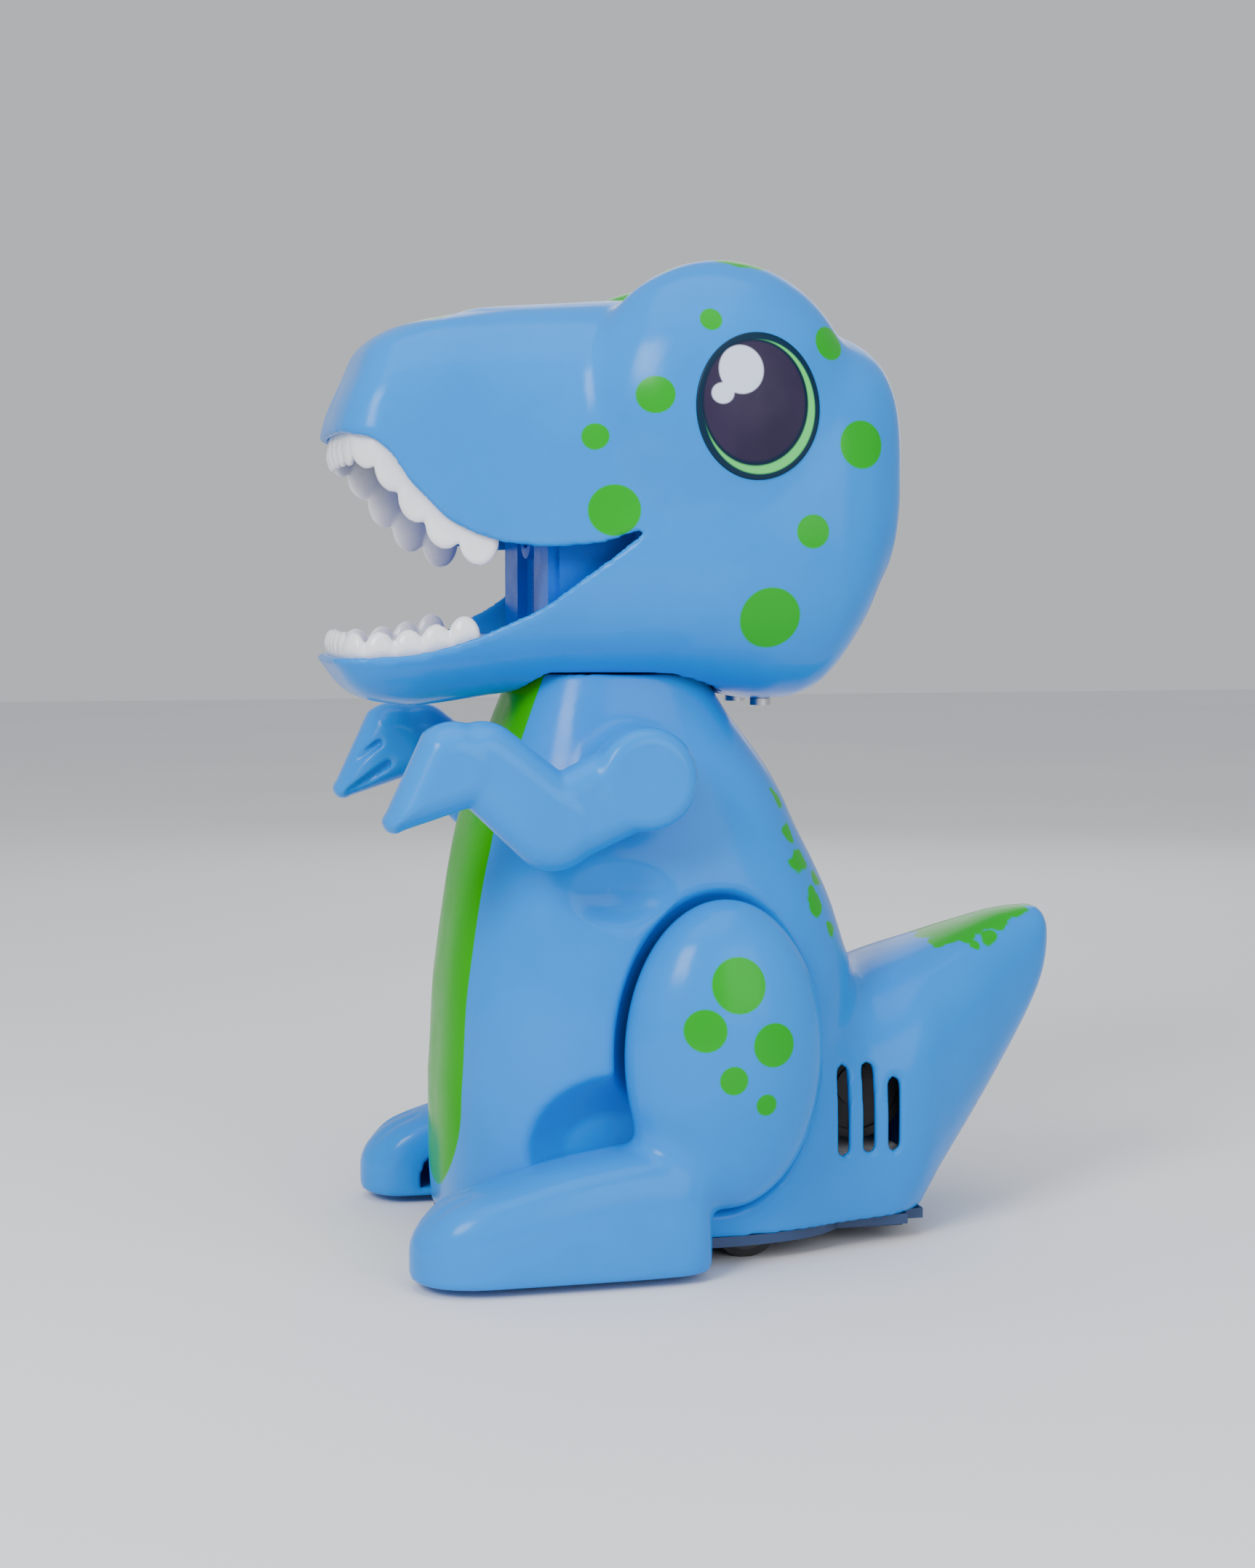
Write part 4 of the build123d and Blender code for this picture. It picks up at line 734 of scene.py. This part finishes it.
def build_body():
    grid = Grid((-50, -71, 4), (50, 98, 144), 1.0)
    form = body_form(grid)
    recess = leg_recess(grid, 0.0)
    shoulder = np.sqrt((grid.y - SHOULDER[0]) ** 2 + (grid.z - SHOULDER[1]) ** 2) - BOSS_R
    boss_half = ARM_INNER_X - BOSS_MIDDLE_X - GAP
    boss = np.maximum(shoulder, np.abs(np.abs(grid.x) - BOSS_MIDDLE_X) - boss_half)
    outside = smooth_union(form, boss, 4.0)
    outside = np.maximum(outside, np.abs(grid.x) - (ARM_INNER_X - GAP) - 3.0 * (grid.z < ARM_ROOM_Z))
    outside = smooth_cut(outside, recess, 1.8)
    inside = np.maximum(form + WALL, -(leg_recess(grid, -WALL)))
    shell = np.maximum(outside, -inside)
    for y, low, high in SLOTS:
        slot = capsule(grid.y, grid.z, (y, low + SLOT_R), (y, high - SLOT_R), SLOT_R, SLOT_R)
        slot = np.maximum(slot, SLOT_INNER_X - np.abs(grid.x))
        shell = smooth_cut(shell, slot, 0.8)
    shell = np.maximum(np.maximum(shell, BASE_Z - grid.z), grid.z - NECK_TOP_Z)
    material = blue_plastic("body_blue", (), BACK_SPOTS + TAIL_SPOTS, belly=True)
    add_mesh("body", grid, shell, "root", material,
             ("body_shell_left", "body_shell_right", "belly_panel", "neck_collar"), "shell_blue")


build_body()

# ---------------------------------------------------------------- legs and arms


def mirror_grid(grid, values):
    """Moves a left limb's grid to the right side, and returns its field reversed to match."""
    far_x = grid.low[0] + (grid.shape[0] - 1) * grid.step
    grid.low = np.array([-far_x, grid.low[1], grid.low[2]])
    return values[::-1]


def build_leg(side, word, material):
    grid = Grid((30, -84, 0), (64, 24, 92), 0.9)
    thigh = ellipsoid(grid, THIGH_CENTRE, THIGH_RADII)
    leg = smooth_union(thigh, foot_form(grid), 5.0)
    outer = smooth_common(leg, SOLE_Z - grid.z, 2.0)
    outer = smooth_common(outer, LEG_INNER_X - grid.x, 1.5)
    room = np.maximum(leg + WALL, SOLE_Z + WALL - grid.z)
    shell = np.maximum(outer, -room)
    for offset in TOE_LINE_OFFSETS:
        front = (LEG_X + offset, -84.0)
        back = (LEG_X + offset * 0.7, -66.0)
        toe_line = capsule(grid.x, grid.y, front, back, 1.5, 0.6, grid.z - FOOT_HIGH(grid.y) - 0.6)
        shell = smooth_cut(shell, toe_line, 1.6)
    if side < 0:
        shell = mirror_grid(grid, shell)
    add_mesh("leg_" + word, grid, shell, "root", material, (word + "_leg",), "shell_blue")


def arm_form(grid):
    """Bent arm with a mitten hand. Its outline is in the side view; its edges are well rounded."""
    across = grid.x - (ARM_INNER_X + ARM_OUTER_X) / 2
    y, z = grid.y, grid.z
    half = (ARM_OUTER_X - ARM_INNER_X) / 2
    disc_end = (SHOULDER[0] - 0.1, SHOULDER[1])
    disc = capsule(y, z, SHOULDER, disc_end, SHOULDER_R, SHOULDER_R)
    shoulder = pillow(disc, across, half, 3.6)
    upper = pillow(capsule(y, z, SHOULDER, ELBOW, 10.6, 10.2), across - 0.2, half - 1.0, 6.0)
    fore = pillow(capsule(y, z, ELBOW, WRIST, 10.7, 9.6), across, half - 0.4, 6.4)
    hand = pillow(capsule(y, z, PALM, FINGERTIP, 10.6, 2.6), across, half, 6.6)
    arm = smooth_union(shoulder, upper, 1.2)
    arm = smooth_union(arm, fore, 0.8)
    arm = smooth_union(arm, hand, 0.8)
    inner = grid.x - ARM_INNER_X
    for start, end in FINGER_GROOVES:
        groove = capsule(y, z, start, end, 1.1, 0.9, np.maximum(inner - 1.2, 0.0))
        arm = smooth_cut(arm, groove, 0.9)
    return arm


def build_arm(side, word, material):
    grid = Grid((40, -89, 94), (60, -10, 135), 0.6)
    arm = arm_form(grid)
    if side < 0:
        arm = mirror_grid(grid, arm)
    add_mesh("arm_" + word, grid, arm, word + "_arm", material, (word + "_arm",), "shell_blue")


LEG_BLUE = blue_plastic("leg_blue", THIGH_SPOTS)
ARM_BLUE = blue_plastic("arm_blue")
for side, word in ((1, "left"), (-1, "right")):
    build_leg(side, word, LEG_BLUE)
    build_arm(side, word, ARM_BLUE)

# ---------------------------------------------------------------- CAD nodes that stay


def moulded(name, color, roughness, coat=0.1, metallic=0.0, grain=900.0, depth=0.00002, specular=0.5):
    nodes = Nodes(name)
    nodes.shader.inputs["Metallic"].default_value = metallic
    nodes.shader.inputs["Specular IOR Level"].default_value = specular
    cloud = nodes.ramp(nodes.noise(70.0, 4.0, 0.6), 0.3, 0.7)
    mixed = nodes.mix(cloud, tint(color, 0.9), tint(color, 1.08))
    return nodes.finish(mixed, roughness, depth, grain, coat)


STAYING = {
    "liner_blue": moulded("liner_blue", (0.0, 0.12, 0.62, 1.0), (0.22, 0.34), 0.0, specular=0.06),
    "tongue_magenta": moulded("tongue_magenta", (0.50, 0.002, 0.14, 1.0), (0.16, 0.26), 0.5),
    "inner_white": moulded("inner_white", (0.70, 0.71, 0.72, 1.0), (0.35, 0.5)),
    "gear_nylon": moulded("gear_nylon", (0.80, 0.77, 0.68, 1.0), (0.35, 0.5)),
    "chassis_dark": moulded("chassis_dark", (0.018, 0.045, 0.12, 1.0), (0.42, 0.6), 0.0,
                            0.0, 1600.0, 0.00006),
    "wheel_black": moulded("wheel_black", (0.03, 0.03, 0.032, 1.0), (0.35, 0.5)),
    "tyre_rubber": moulded("tyre_rubber", (0.022, 0.022, 0.022, 1.0), (0.6, 0.8), 0.0,
                           0.0, 1500.0, 0.00008),
    "steel": moulded("steel", (0.60, 0.60, 0.62, 1.0), (0.25, 0.4), 0.0, 1.0),
    "motor_can": moulded("motor_can", (0.52, 0.52, 0.54, 1.0), (0.3, 0.45), 0.0, 1.0),
    "brass": moulded("brass", (0.70, 0.52, 0.22, 1.0), (0.25, 0.4), 0.0, 1.0),
    "cell_wrap": moulded("cell_wrap", (0.08, 0.08, 0.10, 1.0), (0.2, 0.3), 0.3),
    "speaker_black": moulded("speaker_black", (0.02, 0.02, 0.022, 1.0), (0.5, 0.7)),
    "board_green": moulded("board_green", (0.015, 0.18, 0.05, 1.0), (0.3, 0.45)),
}
SLOT_OF = {row["node"]: row["material_slot"] for row in frame["record"]["subparts"]}
for node, piece in frame["nodes"].items():
    material = STAYING.get(SLOT_OF[node])
    if material:
        piece.data.materials.clear()
        piece.data.materials.append(material)

# ---------------------------------------------------------------- floor, light


def add_stage():
    bpy.ops.mesh.primitive_plane_add(size=6.0)
    floor = bpy.context.object
    floor.name = "floor"
    nodes = Nodes("floor")
    cloud = nodes.ramp(nodes.noise(3.0, 2.0), 0.3, 0.7)
    color = nodes.mix(cloud, (0.80, 0.81, 0.82, 1.0), (0.84, 0.84, 0.85, 1.0))
    nodes.tree.links.new(color, nodes.shader.inputs["Base Color"])
    nodes.shader.inputs["Roughness"].default_value = 0.75
    floor.data.materials.append(nodes.material)
    world = bpy.data.worlds.new("studio")
    world.use_nodes = True
    world.node_tree.nodes["Background"].inputs["Color"].default_value = (0.93, 0.95, 1.0, 1.0)
    world.node_tree.nodes["Background"].inputs["Strength"].default_value = 0.62
    bpy.context.scene.world = world


def add_light(name, place, target, size, watts):
    data = bpy.data.lights.new(name, "AREA")
    data.shape = "RECTANGLE"
    data.size, data.size_y = size
    data.energy = watts
    light = bpy.data.objects.new(name, data)
    light.location = place
    aim = Vector(target) - Vector(place)
    light.rotation_euler = aim.to_track_quat("-Z", "Y").to_euler()
    bpy.context.scene.collection.objects.link(light)


add_stage()
add_light("key", (0.75, -0.75, 0.75), (0.0, -0.01, 0.12), (0.40, 0.45), 11.0)
add_light("fill", (0.95, 0.35, 0.45), (0.0, 0.0, 0.12), (0.6, 0.6), 3.5)
add_light("top", (0.25, -0.1, 1.0), (0.0, 0.0, 0.1), (0.8, 0.8), 4.0)
add_light("far", (-0.8, 0.3, 0.5), (0.0, 0.0, 0.12), (0.6, 0.6), 1.2)
